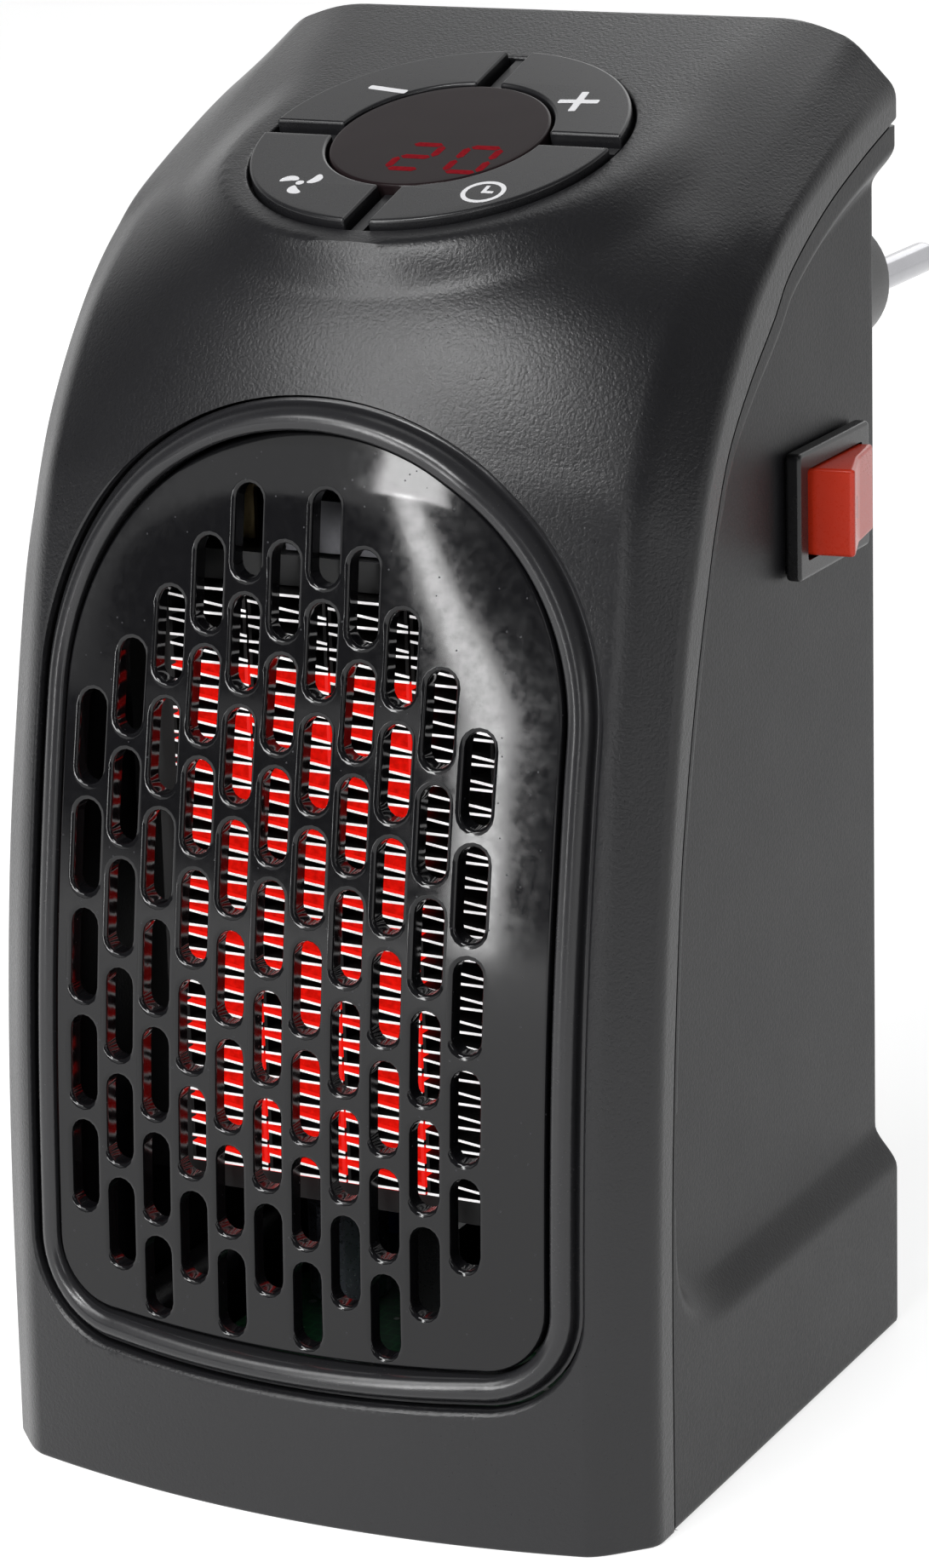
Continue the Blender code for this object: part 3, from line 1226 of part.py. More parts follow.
clear_scene()
PARTS = new_collection("plug_in_fan_heater")
CUTTERS = new_collection("cutters")
HOOD_PLASTIC = material("hood_plastic", (0.035, 0.035, 0.038), 0.5)
BODY_PLASTIC = material("body_plastic", (0.045, 0.045, 0.048), 0.55)
GLOSS_PLASTIC = material("gloss_plastic", (0.02, 0.02, 0.022), 0.18)
DARK_PLASTIC = material("dark_plastic", (0.02, 0.02, 0.02), 0.5)
SMOKED_PLASTIC = material("smoked_plastic", (0.03, 0.015, 0.015), 0.1)
RED_PLASTIC = material("red_plastic", (0.8, 0.08, 0.04), 0.35)
BROWN_PLASTIC = material("brown_plastic", (0.12, 0.05, 0.02), 0.5)
BLUE_PLASTIC = material("blue_plastic", (0.03, 0.1, 0.4), 0.5)
BOARD_GREEN = material("board_green", (0.02, 0.14, 0.05), 0.5)
ALUMINIUM = material("aluminium", (0.75, 0.75, 0.76), 0.35, 1.0)
STEEL = material("steel", (0.55, 0.55, 0.56), 0.35, 1.0)
BRASS = material("brass", (0.75, 0.58, 0.3), 0.3, 1.0)
CHROME = material("chrome", (0.8, 0.8, 0.82), 0.12, 1.0)

make_front_shell()
make_rear_shell()
make_grille_panel()
make_grille_bezel()
make_keypad_frame()
make_buttons()
make_display()
make_control_board()
make_switch()
make_plug()
make_element()
make_duct()
make_fan()
make_power_board()
make_screws()
make_wires()
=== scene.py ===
# Looks of the plug-in fan heater: matt textured hood, glossy slotted grille over a glowing
# element, flush keypad with a red display, red rocker switch and a turning mains plug.
# Metres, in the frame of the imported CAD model: the grille faces -Y, the pins point along +Y.

import contextlib
import math

import bmesh
import bpy
import numpy as np
from mathutils import Matrix, Vector


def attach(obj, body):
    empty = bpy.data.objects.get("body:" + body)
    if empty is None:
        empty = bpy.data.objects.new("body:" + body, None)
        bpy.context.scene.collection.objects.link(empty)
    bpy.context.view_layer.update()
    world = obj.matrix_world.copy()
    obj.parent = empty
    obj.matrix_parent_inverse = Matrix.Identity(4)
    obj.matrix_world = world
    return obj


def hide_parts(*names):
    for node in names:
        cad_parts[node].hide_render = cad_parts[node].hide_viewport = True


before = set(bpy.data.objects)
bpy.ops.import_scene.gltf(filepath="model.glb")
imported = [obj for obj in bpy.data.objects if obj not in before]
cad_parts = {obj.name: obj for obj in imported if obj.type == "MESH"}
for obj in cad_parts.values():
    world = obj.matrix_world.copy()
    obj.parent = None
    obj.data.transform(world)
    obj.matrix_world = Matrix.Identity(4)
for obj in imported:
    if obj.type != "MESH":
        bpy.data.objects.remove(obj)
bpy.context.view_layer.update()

MM = 0.001
DEGREE = math.pi / 180.0
GAP = 0.3 * MM
WALL = 2.0 * MM
OVERRUN = 14.0 * MM
MERGE = 0.001 * MM
SMOOTH_ANGLE = 34.0 * DEGREE
EDGE_STEPS = 3

# Camera, as it stood for the photograph
CAMERA_PLACE = (0.2530, -0.4828, 0.2330)
CAMERA_YAW = 27.25 * DEGREE
CAMERA_PITCH = 16.01 * DEGREE
CAMERA_ROLL = -1.61 * DEGREE
CAMERA_LENS = 110.87
CAMERA_SENSOR = 36.0

# Hood: side profile as shares of the depth and height of its inner crease
HALF_WIDTH = 42.2 * MM
CREASE_HALF_WIDTH = 36.8 * MM
FRONT_DEPTH = 36.4 * MM
REAR_Y = 41.5 * MM
CREASE_HEIGHT = 160.1 * MM
FRONT_CROWN = 4.8 * MM
BROW_CROWN = 9.5 * MM
REAR_CROWN = 6.1 * MM
CROWN_PLACE_SHARES = (0.0, 0.47, 0.73, 1.0)
CREASE_SHARES = ((0.0, 0.0), (0.013, 0.209), (0.036, 0.367), (0.076, 0.5), (0.121, 0.608),
                 (0.177, 0.712), (0.22, 0.758), (0.285, 0.808), (0.354, 0.846),
                 (0.456, 0.882), (0.569, 0.909), (0.807, 0.962), (1.0, 1.0))
OUTER_SHARES = ((0.073, 0.0), (0.081, 0.187), (0.098, 0.324), (0.126, 0.443), (0.162, 0.537),
                (0.208, 0.637), (0.252, 0.696), (0.29, 0.74), (0.334, 0.776), (0.389, 0.812),
                (0.445, 0.843), (0.51, 0.87), (0.601, 0.899), (0.825, 0.943), (1.0, 0.965))
PARTING_SHARES = ((0.125, 0.0), (0.131, 0.187), (0.145, 0.317), (0.176, 0.456), (0.208, 0.537),
                  (0.248, 0.611), (0.286, 0.668), (0.316, 0.708), (0.366, 0.756),
                  (0.44, 0.796), (0.53, 0.834), (0.59, 0.862), (0.718, 0.896), (0.86, 0.922),
                  (1.0, 0.943))
PROFILE_ROWS = 300
CROWN_COLUMNS = 30
CREASE_ROUND = 2.8 * MM
OUTER_ROUND = 1.3 * MM
PARTING_ROUND = 0.4 * MM
END_ROUND = 0.35 * MM

# Sloping top and the keypad on it
TOP_TILT = 17.5 * DEGREE
KEYPAD_Y = 7.1 * MM
KEYPAD_Z = CREASE_HEIGHT - 8.7 * MM
PLATFORM_RADIUS = 25.4 * MM
PLATFORM_FALL = 7.0 * MM
TOP_BLEND = 0.8 * MM
KEY_HOLE_RADIUS = 22.5 * MM
KEY_HOLE_ROUND = 0.35 * MM
KEY_POCKET_RADIUS = 23.8 * MM
KEY_POCKET_DEPTH = 10.0 * MM
KEY_FIT = 0.35 * MM
KEY_GROOVE = 3.0 * MM
KEY_PROUD = 1.0 * MM
KEY_EDGE = 0.4 * MM
KEY_CORNER = 0.35 * MM
KEYPAD_FRAME_EDGE = 0.2 * MM
KEY_TRAVEL = 0.5 * MM
KEY_STEM_RADIUS = 1.5 * MM
FLOOR_DEPTH = 3.4 * MM
BOARD_DEPTH = 10.0 * MM
PLUNGER_TOP = -BOARD_DEPTH + GAP + 4.2 * MM
WINDOW_RADIUS = 12.95 * MM
WINDOW_PROUD = 0.8 * MM
WINDOW_THICKNESS = 1.9 * MM
INK = 0.03 * MM

# Grille: arched panel, its bead and the slots
ARCH_HALF_WIDTH = 31.4 * MM
ARCH_Z = CREASE_HEIGHT - 67.6 * MM
GRILLE_BOTTOM_Z = 19.5 * MM
GRILLE_BOTTOM_BOW = 2.2 * MM
GRILLE_CORNER = 8.0 * MM
GRILLE_HOLE = 4.0 * MM
PANEL_SINK = 2.8 * MM
PANEL_PROUD = 0.6 * MM
PANEL_THICKNESS = 2.2 * MM
PANEL_TOLERANCE = 0.009 * MM
PANEL_COLUMNS = 84
PANEL_ROWS = 140
BEZEL_SECTION = ((0.35, -3.2), (0.35, -0.75), (0.55, -0.2), (0.95, 0.2), (1.45, 0.45), (1.95, 0.48),
                 (2.4, 0.28), (2.75, -0.1), (3.0, -0.6), (3.15, -1.1), (3.35, -1.35), (3.7, -1.4),
                 (3.7, -3.2))
BEAD_STEPS = 34
SLOT_SHIFT = -2.9 * MM
SLOT_PITCH_X = 4.94 * MM
SLOT_PITCH_Z = 12.44 * MM
SLOT_CENTRE_Z = 68.9 * MM
SLOT_LENGTH = 10.6 * MM
SLOT_WIDTH = 3.5 * MM
SLOT_MARGIN = 1.0 * MM
SLOT_END_POINTS = 9
SLOT_TOP_STEPS = (3, 4, 5, 6, 7, 6, 7, 6, 5, 4, 3)
SLOT_BOTTOM_STEPS = (-5, -6, -7, -6, -7, -6, -7, -6, -7, -6, -5)
# How far each ring of a hole's cutter stands out from the hole's outline and above the surface
SLOT_LIP = ((0.0, -9.0), (0.0, -0.55), (0.04, -0.33), (0.12, -0.18), (0.24, -0.09), (0.38, -0.04),
            (0.52, -0.012), (0.64, 0.004), (0.67, 0.3))
RIM_LIP = ((0.0, -9.0), (0.0, -0.9), (0.07, -0.5), (0.25, -0.2), (0.5, -0.04), (1.0, 0.3), (6.0, 9.0))
PANEL_EDGE = ((0.0, -9.0), (0.0, -0.5), (-0.06, -0.28), (-0.2, -0.08), (-0.5, 0.06), (-0.9, 0.5),
              (-0.9, 12.0))

# Side recess of the rear case
RECESS_DEPTH = 2.9 * MM
RECESS_RIM_WIDTHS = (1.0 * MM, 1.0 * MM, 2.0 * MM, 3.0 * MM)
RECESS_FLOOR_WIDTHS = (2.6 * MM, 2.6 * MM, 5.5 * MM, 8.4 * MM)
RECESS_WIDTH_SHARES = (0.0, 0.6, 0.72, 1.0)
LEDGE_RIM_Z = 20.8 * MM
LEDGE_FLOOR_Z = 26.0 * MM
LEDGE_CORNER_RISE = 13.0 * MM
LEDGE_CORNER_RUN = 16.0 * MM
CASE_COLUMNS = 60
CASE_CROWDING = 1.5
CASE_EDGE = 1.0 * MM
CASE_FOOT = 0.8 * MM

# Rocker switch in the right-hand recess; the rocker turns about a vertical axis
SWITCH_Y = 23.9 * MM
SWITCH_Z = CREASE_HEIGHT - 51.2 * MM
SWITCH_BEZEL = (21.0 * MM, 15.0 * MM)
SWITCH_BEZEL_THICKNESS = 1.9 * MM
SWITCH_BEZEL_CORNER = 0.8 * MM
SWITCH_OPENING_CORNER = 0.6 * MM
SWITCH_EDGE = 0.45 * MM
SWITCH_BODY = (19.0 * MM, 13.0 * MM)
SWITCH_BODY_DEPTH = 12.0 * MM
SWITCH_OPENING = (16.4 * MM, 10.8 * MM)
SWITCH_CAVITY_DEPTH = 7.5 * MM
SWITCH_FACE_X = HALF_WIDTH - RECESS_DEPTH + GAP + SWITCH_BEZEL_THICKNESS
ROCKER_HALF_LENGTH = 7.4 * MM
ROCKER_FOOT_HALF_LENGTH = 6.6 * MM
ROCKER_HEIGHT = 2.6 * MM
ROCKER_FOOT_DEPTH = 3.0 * MM
ROCKER_PIVOT_DEPTH = 2.2 * MM
ROCKER_HALF_WIDTH = SWITCH_OPENING[1] / 2.0 - 0.25 * MM
ROCKER_VEE = 5.0 * DEGREE
ROCKER_TILT = 14.0 * DEGREE
ROCKER_EDGE = 0.45 * MM
ROCKER_CORNER = 0.7 * MM
ROCKER_MARK_SIZE = (0.7 * MM, 2.6 * MM)
ROCKER_PIN_RADIUS = 1.0 * MM
ROCKER_PIN_LENGTH = 0.9 * MM

# Turning mains plug at the back
PLUG_X = 13.2 * MM
PLUG_Z = CREASE_HEIGHT - 36.1 * MM
TURNTABLE_RADIUS = 20.6 * MM
TURNTABLE_THICKNESS = 1.6 * MM
HUB_RADIUS = 18.0 * MM
HUB_DEPTH = 3.6 * MM
NECK_BASE = (34.0 * MM, 27.0 * MM)
NECK_NOSE = (25.0 * MM, 16.5 * MM)
NECK_LENGTH = 39.0 * MM
NECK_WAIST_SHARE = 0.7
NECK_EDGE = 0.9 * MM
TURNTABLE_EDGE = 0.7 * MM
PIN_TIP = 1.7 * MM
PIN_SPACING = 19.0 * MM
PIN_RADIUS = 2.0 * MM
PIN_LENGTH = 19.0 * MM
PIN_ROOT = 7.0 * MM

# Heating element behind the grille
ELEMENT_FRONT_Y = -24.0 * MM
ELEMENT_Z = 70.0 * MM
FIN_STRIPS = 4
FIN_WIDTH = 10.0 * MM
FIN_HEIGHT = 69.6 * MM
FIN_PITCHES = 24
FIN_SHEET = 0.4 * MM
FOLD_SHARES = (0.35, 0.8)
# Width of the painted highlight along the front edges of the fins
FIN_HIGHLIGHT_LINE = 0.3 * MM

# Air intake, screws and posts
INTAKE_ROWS = 8
INTAKE_PITCH = 8.0 * MM
INTAKE_LENGTH = 46.0 * MM
INTAKE_WIDTH = 3.4 * MM
INTAKE_Z = 66.0 * MM
SCREW_X = 33.0 * MM
SCREW_PLACES = [(x, z) for z in (11.0 * MM, CREASE_HEIGHT - 17.1 * MM) for x in (-SCREW_X, SCREW_X)]
SCREW_HOLE_RADIUS = 1.7 * MM
SCREW_BITE = 12.0 * MM
BOSS_RADIUS = 4.2 * MM
BOSS_LENGTH = 6.5 * MM
POST_RADIUS = 3.0 * MM
COUNTERBORE_RADIUS = 3.1 * MM
COUNTERBORE_DEPTH = 5.5 * MM
BORE_LIP = ((0.0, -0.3), (0.1, -0.1), (0.6, 0.4))
DUCT_POST_RADIUS = 2.6 * MM
DUCT_POST_PLACES = ((-31.0 * MM, 32.0 * MM), (31.0 * MM, 32.0 * MM), (-31.0 * MM, 105.4 * MM))
DUCT_PLATE_BACK_Y = -8.2 * MM
BOARD_PEG_RADIUS = 2.5 * MM
BOARD_PEG_PLACES = [(x, y) for x in (-20.0 * MM, 20.0 * MM) for y in (-14.0 * MM, 24.0 * MM)]
BOARD_PEG_TOP = 6.7 * MM

SIDE_FACING = Matrix(((0.0, 0.0, 1.0, 0.0), (1.0, 0.0, 0.0, 0.0),
                      (0.0, 1.0, 0.0, 0.0), (0.0, 0.0, 0.0, 1.0)))
FRONT_FACING = Matrix(((1.0, 0.0, 0.0, 0.0), (0.0, 0.0, -1.0, 0.0),
                       (0.0, 1.0, 0.0, 0.0), (0.0, 0.0, 0.0, 1.0)))
DEPTH_FACING = Matrix(((-1.0, 0.0, 0.0, 0.0), (0.0, 0.0, 1.0, 0.0),
                       (0.0, 1.0, 0.0, 0.0), (0.0, 0.0, 0.0, 1.0)))
TOP_FACING = Matrix.Translation((0.0, KEYPAD_Y, KEYPAD_Z)) @ Matrix.Rotation(TOP_TILT, 4, 'X')
PLUG_FACING = Matrix.Translation((PLUG_X, 0.0, PLUG_Z)) @ DEPTH_FACING
SWITCH_FACING = Matrix.Translation((SWITCH_FACE_X, SWITCH_Y, SWITCH_Z)) @ SIDE_FACING


# Working by hand: selecting, placing, shaping and joining

def activate(*pieces):
    bpy.ops.object.select_all(action='DESELECT')
    for piece in pieces:
        piece.select_set(True)
    bpy.context.view_layer.objects.active = pieces[0]


def named(name):
    piece = bpy.context.object
    piece.name = name
    piece.data.name = name
    return piece


@contextlib.contextmanager
def editing(piece):
    activate(piece)
    bpy.ops.object.mode_set(mode='EDIT')
    bpy.ops.mesh.select_all(action='SELECT')
    yield bmesh.from_edit_mesh(piece.data)
    bpy.ops.object.mode_set(mode='OBJECT')


def pick_faces(work, test):
    """In edit mode, select only the faces that pass a test."""
    bpy.context.tool_settings.mesh_select_mode = (False, False, True)
    for face in work.faces:
        face.select_set(test(face))


def settle(piece, facing):
    """Move a piece to its place and leave its object at the origin."""
    activate(piece)
    piece.matrix_world = facing @ piece.matrix_world
    bpy.ops.object.transform_apply(location=True, rotation=True, scale=True)
    return piece


def tidy(piece, capped=False):
    """Close seams and ends, and point every face outwards."""
    with editing(piece):
        bpy.ops.mesh.remove_doubles(threshold=MERGE)
        if capped:
            bpy.ops.mesh.select_all(action='SELECT')
            bpy.ops.mesh.fill_holes(sides=0)
        bpy.ops.mesh.select_all(action='SELECT')
        bpy.ops.mesh.normals_make_consistent(inside=False)
    return piece


def modify(piece, kind, **settings):
    activate(piece)
    modifier = piece.modifiers.new(kind.title(), kind)
    for setting, value in settings.items():
        setattr(modifier, setting, value)
    bpy.ops.object.modifier_apply(modifier=modifier.name)


def combine(piece, operation, *tools):
    for tool in tools:
        modify(piece, 'BOOLEAN', operation=operation, solver='EXACT', object=tool)
        bpy.data.objects.remove(tool, do_unlink=True)
    return piece


def cut(piece, *tools):
    return combine(piece, 'DIFFERENCE', *tools)


def fuse(piece, *tools):
    return combine(piece, 'UNION', *tools)


def joined(name, pieces):
    activate(*pieces)
    bpy.ops.object.join()
    return named(name)


def formed(name, rings, facing=None):
    """A primitive grid with its rows of points moved on to rings, its seams and ends closed."""
    bpy.ops.mesh.primitive_grid_add(x_subdivisions=len(rings[0]) - 1, y_subdivisions=len(rings) - 1,
                                    size=1.0, calc_uvs=False)
    piece = named(name)
    piece.data.vertices.foreach_set("co", np.array(rings, float).ravel())
    tidy(piece, capped=True)
    return settle(piece, facing) if facing else piece


def closed(line):
    return list(line) + [line[0]]


def cylinder(name, radius, start, end, facing=None, sides=48, centre=(0.0, 0.0)):
    bpy.ops.mesh.primitive_cylinder_add(vertices=sides, radius=radius, depth=end - start,
                                        location=(*centre, (start + end) / 2.0))
    return settle(named(name), facing or Matrix.Identity(4))


def block(name, size, centre):
    bpy.ops.mesh.primitive_cube_add(size=1.0, location=centre, scale=size)
    return settle(named(name), Matrix.Identity(4))


def turned(name, profile, facing, sides=96):
    """A profile of (radius, height) turned about Z, both its ends on the axis or at one point."""
    angles = np.linspace(0.0, 2.0 * math.pi, sides + 1)
    rings = [[(radius * math.cos(a), radius * math.sin(a), height) for a in angles]
             for radius, height in profile]
    return formed(name, rings, facing)


def cut_out(name, outlines, low, high, facing, edge=0.0):
    """Flat outlines filled, given depth from low to high and a rounded edge, and made a mesh."""
    curve = bpy.data.curves.new(name, 'CURVE')
    curve.dimensions = '2D'
    curve.fill_mode = 'BOTH'
    curve.extrude = (high - low) / 2.0 - edge
    curve.bevel_depth = edge
    curve.bevel_resolution = EDGE_STEPS
    curve.offset = -edge
    for outline in outlines:
        spline = curve.splines.new('POLY')
        spline.points.add(len(outline) - 1)
        for point, place in zip(spline.points, outline):
            point.co = (*place, 0.0, 1.0)
        spline.use_cyclic_u = True
    piece = bpy.data.objects.new(name, curve)
    bpy.context.scene.collection.objects.link(piece)
    activate(piece)
    bpy.ops.object.convert(target='MESH')
    tidy(named(name))
    return settle(piece, facing @ Matrix.Translation((0.0, 0.0, (low + high) / 2.0)))


def shade(piece):
    """Smooth shading up to a crease, in which broad faces keep their own direction."""
    activate(piece)
    bpy.ops.object.shade_smooth_by_angle(angle=SMOOTH_ANGLE)
    modify(piece, 'WEIGHTED_NORMAL', mode='FACE_AREA', weight=100, keep_sharp=True)


def dress(piece, body, finish, slot, *nodes):
    """Give a finished piece its material, its body and the CAD nodes that it stands for."""
    piece.data.materials.clear()
    piece.data.materials.append(finish)
    for face in piece.data.polygons:
        face.material_index = 0
    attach(piece, body)
    if nodes:
        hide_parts(*nodes)


# Lines and curves

def through(knots, shares):
    """Points at shares of the length of a smooth line through the knots."""
    knots = np.array(knots, float)
    padded = np.vstack([2.0 * knots[0] - knots[1], knots, 2.0 * knots[-1] - knots[-2]])
    fine = []
    for a, b, c, d in zip(padded, padded[1:], padded[2:], padded[3:]):
        for s in np.linspace(0.0, 1.0, 400, endpoint=False):
            bend = (2.0 * a - 5.0 * b + 4.0 * c - d) * s ** 2 + (3.0 * (b - c) + d - a) * s ** 3
            fine.append(b + 0.5 * ((c - a) * s + bend))
    fine = np.array(fine + [knots[-1]])
    run = np.concatenate([[0.0], np.cumsum(np.hypot(*np.diff(fine, axis=0).T))])
    places = np.asarray(shares) * run[-1]
    return np.column_stack([np.interp(places, run, fine[:, 0]), np.interp(places, run, fine[:, 1])])


def side_curve(shares):
    """A line of the side profile as (y, z), run on at both ends."""
    depth = REAR_Y + FRONT_DEPTH
    line = through([(y * depth - FRONT_DEPTH, z * CREASE_HEIGHT) for y, z in shares], ROW_SHARES)
    first = line[0] + (line[0] - line[1]) / np.hypot(*(line[0] - line[1])) * OVERRUN
    last = line[-1] + (line[-1] - line[-2]) / np.hypot(*(line[-1] - line[-2])) * OVERRUN
    return np.vstack([first, line, last])


def outward(line):
    tangent = np.gradient(line, axis=0)
    tangent /= np.hypot(tangent[:, 0], tangent[:, 1])[:, None]
    return np.column_stack([-tangent[:, 1], tangent[:, 0]])


def eased(share):
    return share * share * (3.0 - 2.0 * share)


def crown_heights():
    crowns = (FRONT_CROWN, FRONT_CROWN, BROW_CROWN, REAR_CROWN)
    heights = []
    for share in ROW_SHARES:
        place = max(index for index in range(len(crowns) - 1) if CROWN_PLACE_SHARES[index] <= share)
        low, high = CROWN_PLACE_SHARES[place:place + 2]
        rise = crowns[place + 1] - crowns[place]
        heights.append(crowns[place] + rise * eased((share - low) / (high - low)))
    return np.array(heights[:1] + heights + heights[-1:])


ROW_SHARES = np.linspace(0.0, 1.0, PROFILE_ROWS)
CREASE = side_curve(CREASE_SHARES)
CREASE_OUTWARD = outward(CREASE)
OUTER = side_curve(OUTER_SHARES)
OUTER_OUTWARD = outward(OUTER)
PARTING = side_curve(PARTING_SHARES)
PARTING_OUTWARD = outward(PARTING)
CROWNS = crown_heights()


def mitre(first, second):
    """How far a corner between two faces moves, along each axis, for a unit inset."""
    both = (first[0] + second[0], first[1] + second[1])
    scale = 1.0 + first[0] * second[0] + first[1] * second[1]
    return both[0] / scale, both[1] / scale


def unit(vector):
    vector = np.array(vector, float)
    return vector / np.linalg.norm(vector)


def rounded(before, peak, after, reach, count=5):
    """Points that round off the corner at a peak between two straight lines."""
    peak = np.array(peak, float)
    before = np.array(before, float) - peak
    after = np.array(after, float) - peak
    start = peak + before * min(0.49, reach / np.linalg.norm(before))
    end = peak + after * min(0.49, reach / np.linalg.norm(after))
    return [tuple(start * (1.0 - s) ** 2 + peak * 2.0 * s * (1.0 - s) + end * s * s)
            for s in np.linspace(0.0, 1.0, count)]


def soft_corners(line, reach, count=5):
    """A closed outline with every corner rounded off."""
    made = []
    for index, peak in enumerate(line):
        made += rounded(line[index - 1], peak, line[(index + 1) % len(line)], reach, count)
    return made


def circle(radius, sides=48):
    return [(radius * math.cos(a), radius * math.sin(a))
            for a in np.linspace(0.0, 2.0 * math.pi, sides, endpoint=False)]


def rectangle(size):
    half_x = size[0] / 2.0
    half_y = size[1] / 2.0
    return [(-half_x, -half_y), (half_x, -half_y), (half_x, half_y), (-half_x, half_y)]


def obround(centre_x, low, high, width):
    radius = width / 2.0
    outline = []
    for middle, start in ((high - radius, 0.0), (low + radius, math.pi)):
        for angle in np.linspace(start, start + math.pi, SLOT_END_POINTS):
            outline.append((centre_x + radius * math.cos(angle), middle + radius * math.sin(angle)))
    return outline


# Hood

def skin_height(point, normal, crown, inset, x):
    """Height of the hood's skin over its crease line: crown, sloping top and keypad platform."""
    slope = np.array((-math.sin(TOP_TILT), math.cos(TOP_TILT)))
    along = np.array((math.cos(TOP_TILT), math.sin(TOP_TILT)))
    centre = np.array((KEYPAD_Y, KEYPAD_Z)) - slope * inset
    plane = (centre - point) @ slope / (normal @ slope)
    if plane > crown + FRONT_DEPTH:
        return crown
    reach = math.hypot(x, (point + normal * plane - centre) @ along)
    left = 1.0 - min(1.0, max(0.0, (reach - (PLATFORM_RADIUS - inset)) / PLATFORM_FALL))
    share = 1.0 - left * left
    overlap = max(TOP_BLEND - abs(crown - plane), 0.0)
    lower = min(crown, plane) - overlap ** 2 / (4.0 * TOP_BLEND)
    return plane * (1.0 - share) + lower * share


def hood_slice(row, inset, under):
    """One slice of the hood as a closed ring, over the crown and back across the parting line."""
    drop = float(np.hypot(*(OUTER[1] - CREASE[1])))
    chamfer = unit((drop, HALF_WIDTH - CREASE_HALF_WIDTH))
    crown = CROWNS[row]
    crease_move = mitre(unit((2.0 * crown, CREASE_HALF_WIDTH)), chamfer)
    crease_x = CREASE_HALF_WIDTH - inset * crease_move[0]
    normal = CREASE_OUTWARD[row]
    inner = CREASE[row] - normal * inset * crease_move[1]

    def skin(x):
        rise = crown * (1.0 - (x / crease_x) ** 2)
        return (x, *(inner + normal * skin_height(inner, normal, rise, inset, x)))

    side_x = HALF_WIDTH - inset
    edge = (side_x, *(OUTER[row] - OUTER_OUTWARD[row] * inset * mitre(chamfer, (1.0, 0.0))[1]))
    sill = (side_x, *(PARTING[row] - PARTING_OUTWARD[row] * under))
    within = (side_x - WALL, *(PARTING[row] - PARTING_OUTWARD[row] * under))
    half = [skin(x) for x in np.linspace(0.0, crease_x - CREASE_ROUND, CROWN_COLUMNS)]
    half += rounded(half[-1], skin(crease_x), edge, CREASE_ROUND * 0.97, 7)
    half += rounded(skin(crease_x), edge, sill, OUTER_ROUND)
    half += rounded(edge, sill, within, PARTING_ROUND)
    other = [(-point[0], point[1], point[2]) for point in half[:0:-1]]
    return closed(other + half)


def slice_off(piece, place, normal):
    """Cut a closed mesh with a plane, drop what lies beyond it and fill the cut."""
    with editing(piece):
        bpy.ops.mesh.bisect(plane_co=place, plane_no=normal, use_fill=True, clear_outer=True)


def roll_end(piece, normal, radius):
    """Give the flat end that faces along the normal a rounded rim that stands out by the radius."""
    direction = Vector(normal)
    angles = np.linspace(0.0, math.pi / 2.0, EDGE_STEPS + 1)
    with editing(piece) as work:
        ends = [face for face in work.faces if face.normal.dot(direction) > 0.999]
        broad = max(ends, key=lambda face: face.calc_area())
        pick_faces(work, lambda face: face == broad)
        for low, high in zip(angles, angles[1:]):
            bpy.ops.mesh.inset(thickness=radius * (math.cos(low) - math.cos(high)),
                               depth=radius * (math.sin(high) - math.sin(low)))


def hood_volume(name, inset, under, roll):
    piece = formed(name, [hood_slice(row, inset, under) for row in range(len(CREASE))])
    slice_off(piece, (0.0, REAR_Y - inset - roll, 0.0), (0.0, 1.0, 0.0))
    slice_off(piece, (0.0, 0.0, inset + roll), (0.0, 0.0, -1.0))
    if roll:
        roll_end(piece, (0.0, 0.0, -1.0), roll)
        roll_end(piece, (0.0, 1.0, 0.0), roll)
    return tidy(piece)


def front_y(x, z, sink=0.0, proud=0.0):
    """Depth of the hood's front at (x, z), its crown lowered by sink and raised by proud."""
    facing = np.interp(z, CREASE[:, 1], -CREASE_OUTWARD[:, 0])
    crown = (np.interp(z, CREASE[:, 1], CROWNS) - sink) * (1.0 - (x / CREASE_HALF_WIDTH) ** 2)
    return np.interp(z, CREASE[:, 1], CREASE[:, 0]) - (crown + proud) / facing


def panel_y(x, z):
    return front_y(x, z, PANEL_SINK, PANEL_PROUD)


def true_front(piece):
    """Point the corners that lie on the panel's surface straight out of its curve."""
    mesh = piece.data
    normals = [Vector(corner.vector) for corner in mesh.corner_normals]
    places = np.empty(len(mesh.vertices) * 3)
    mesh.vertices.foreach_get("co", places)
    x, y, z = places.reshape(-1, 3).T
    slope_x = (panel_y(x + WALL, z) - panel_y(x - WALL, z)) / (2.0 * WALL)
    slope_z = (panel_y(x, z + WALL) - panel_y(x, z - WALL)) / (2.0 * WALL)
    on_front = np.abs(y - panel_y(x, z)) < PANEL_TOLERANCE
    for loop in mesh.loops:
        vertex = loop.vertex_index
        if on_front[vertex]:
            normals[loop.index] = Vector((slope_x[vertex], -1.0, slope_z[vertex])).normalized()
    mesh.normals_split_custom_set(normals)


def grille_bottom(x, offset=0.0):
    return GRILLE_BOTTOM_Z - offset + GRILLE_BOTTOM_BOW * (x / (ARCH_HALF_WIDTH + offset)) ** 2


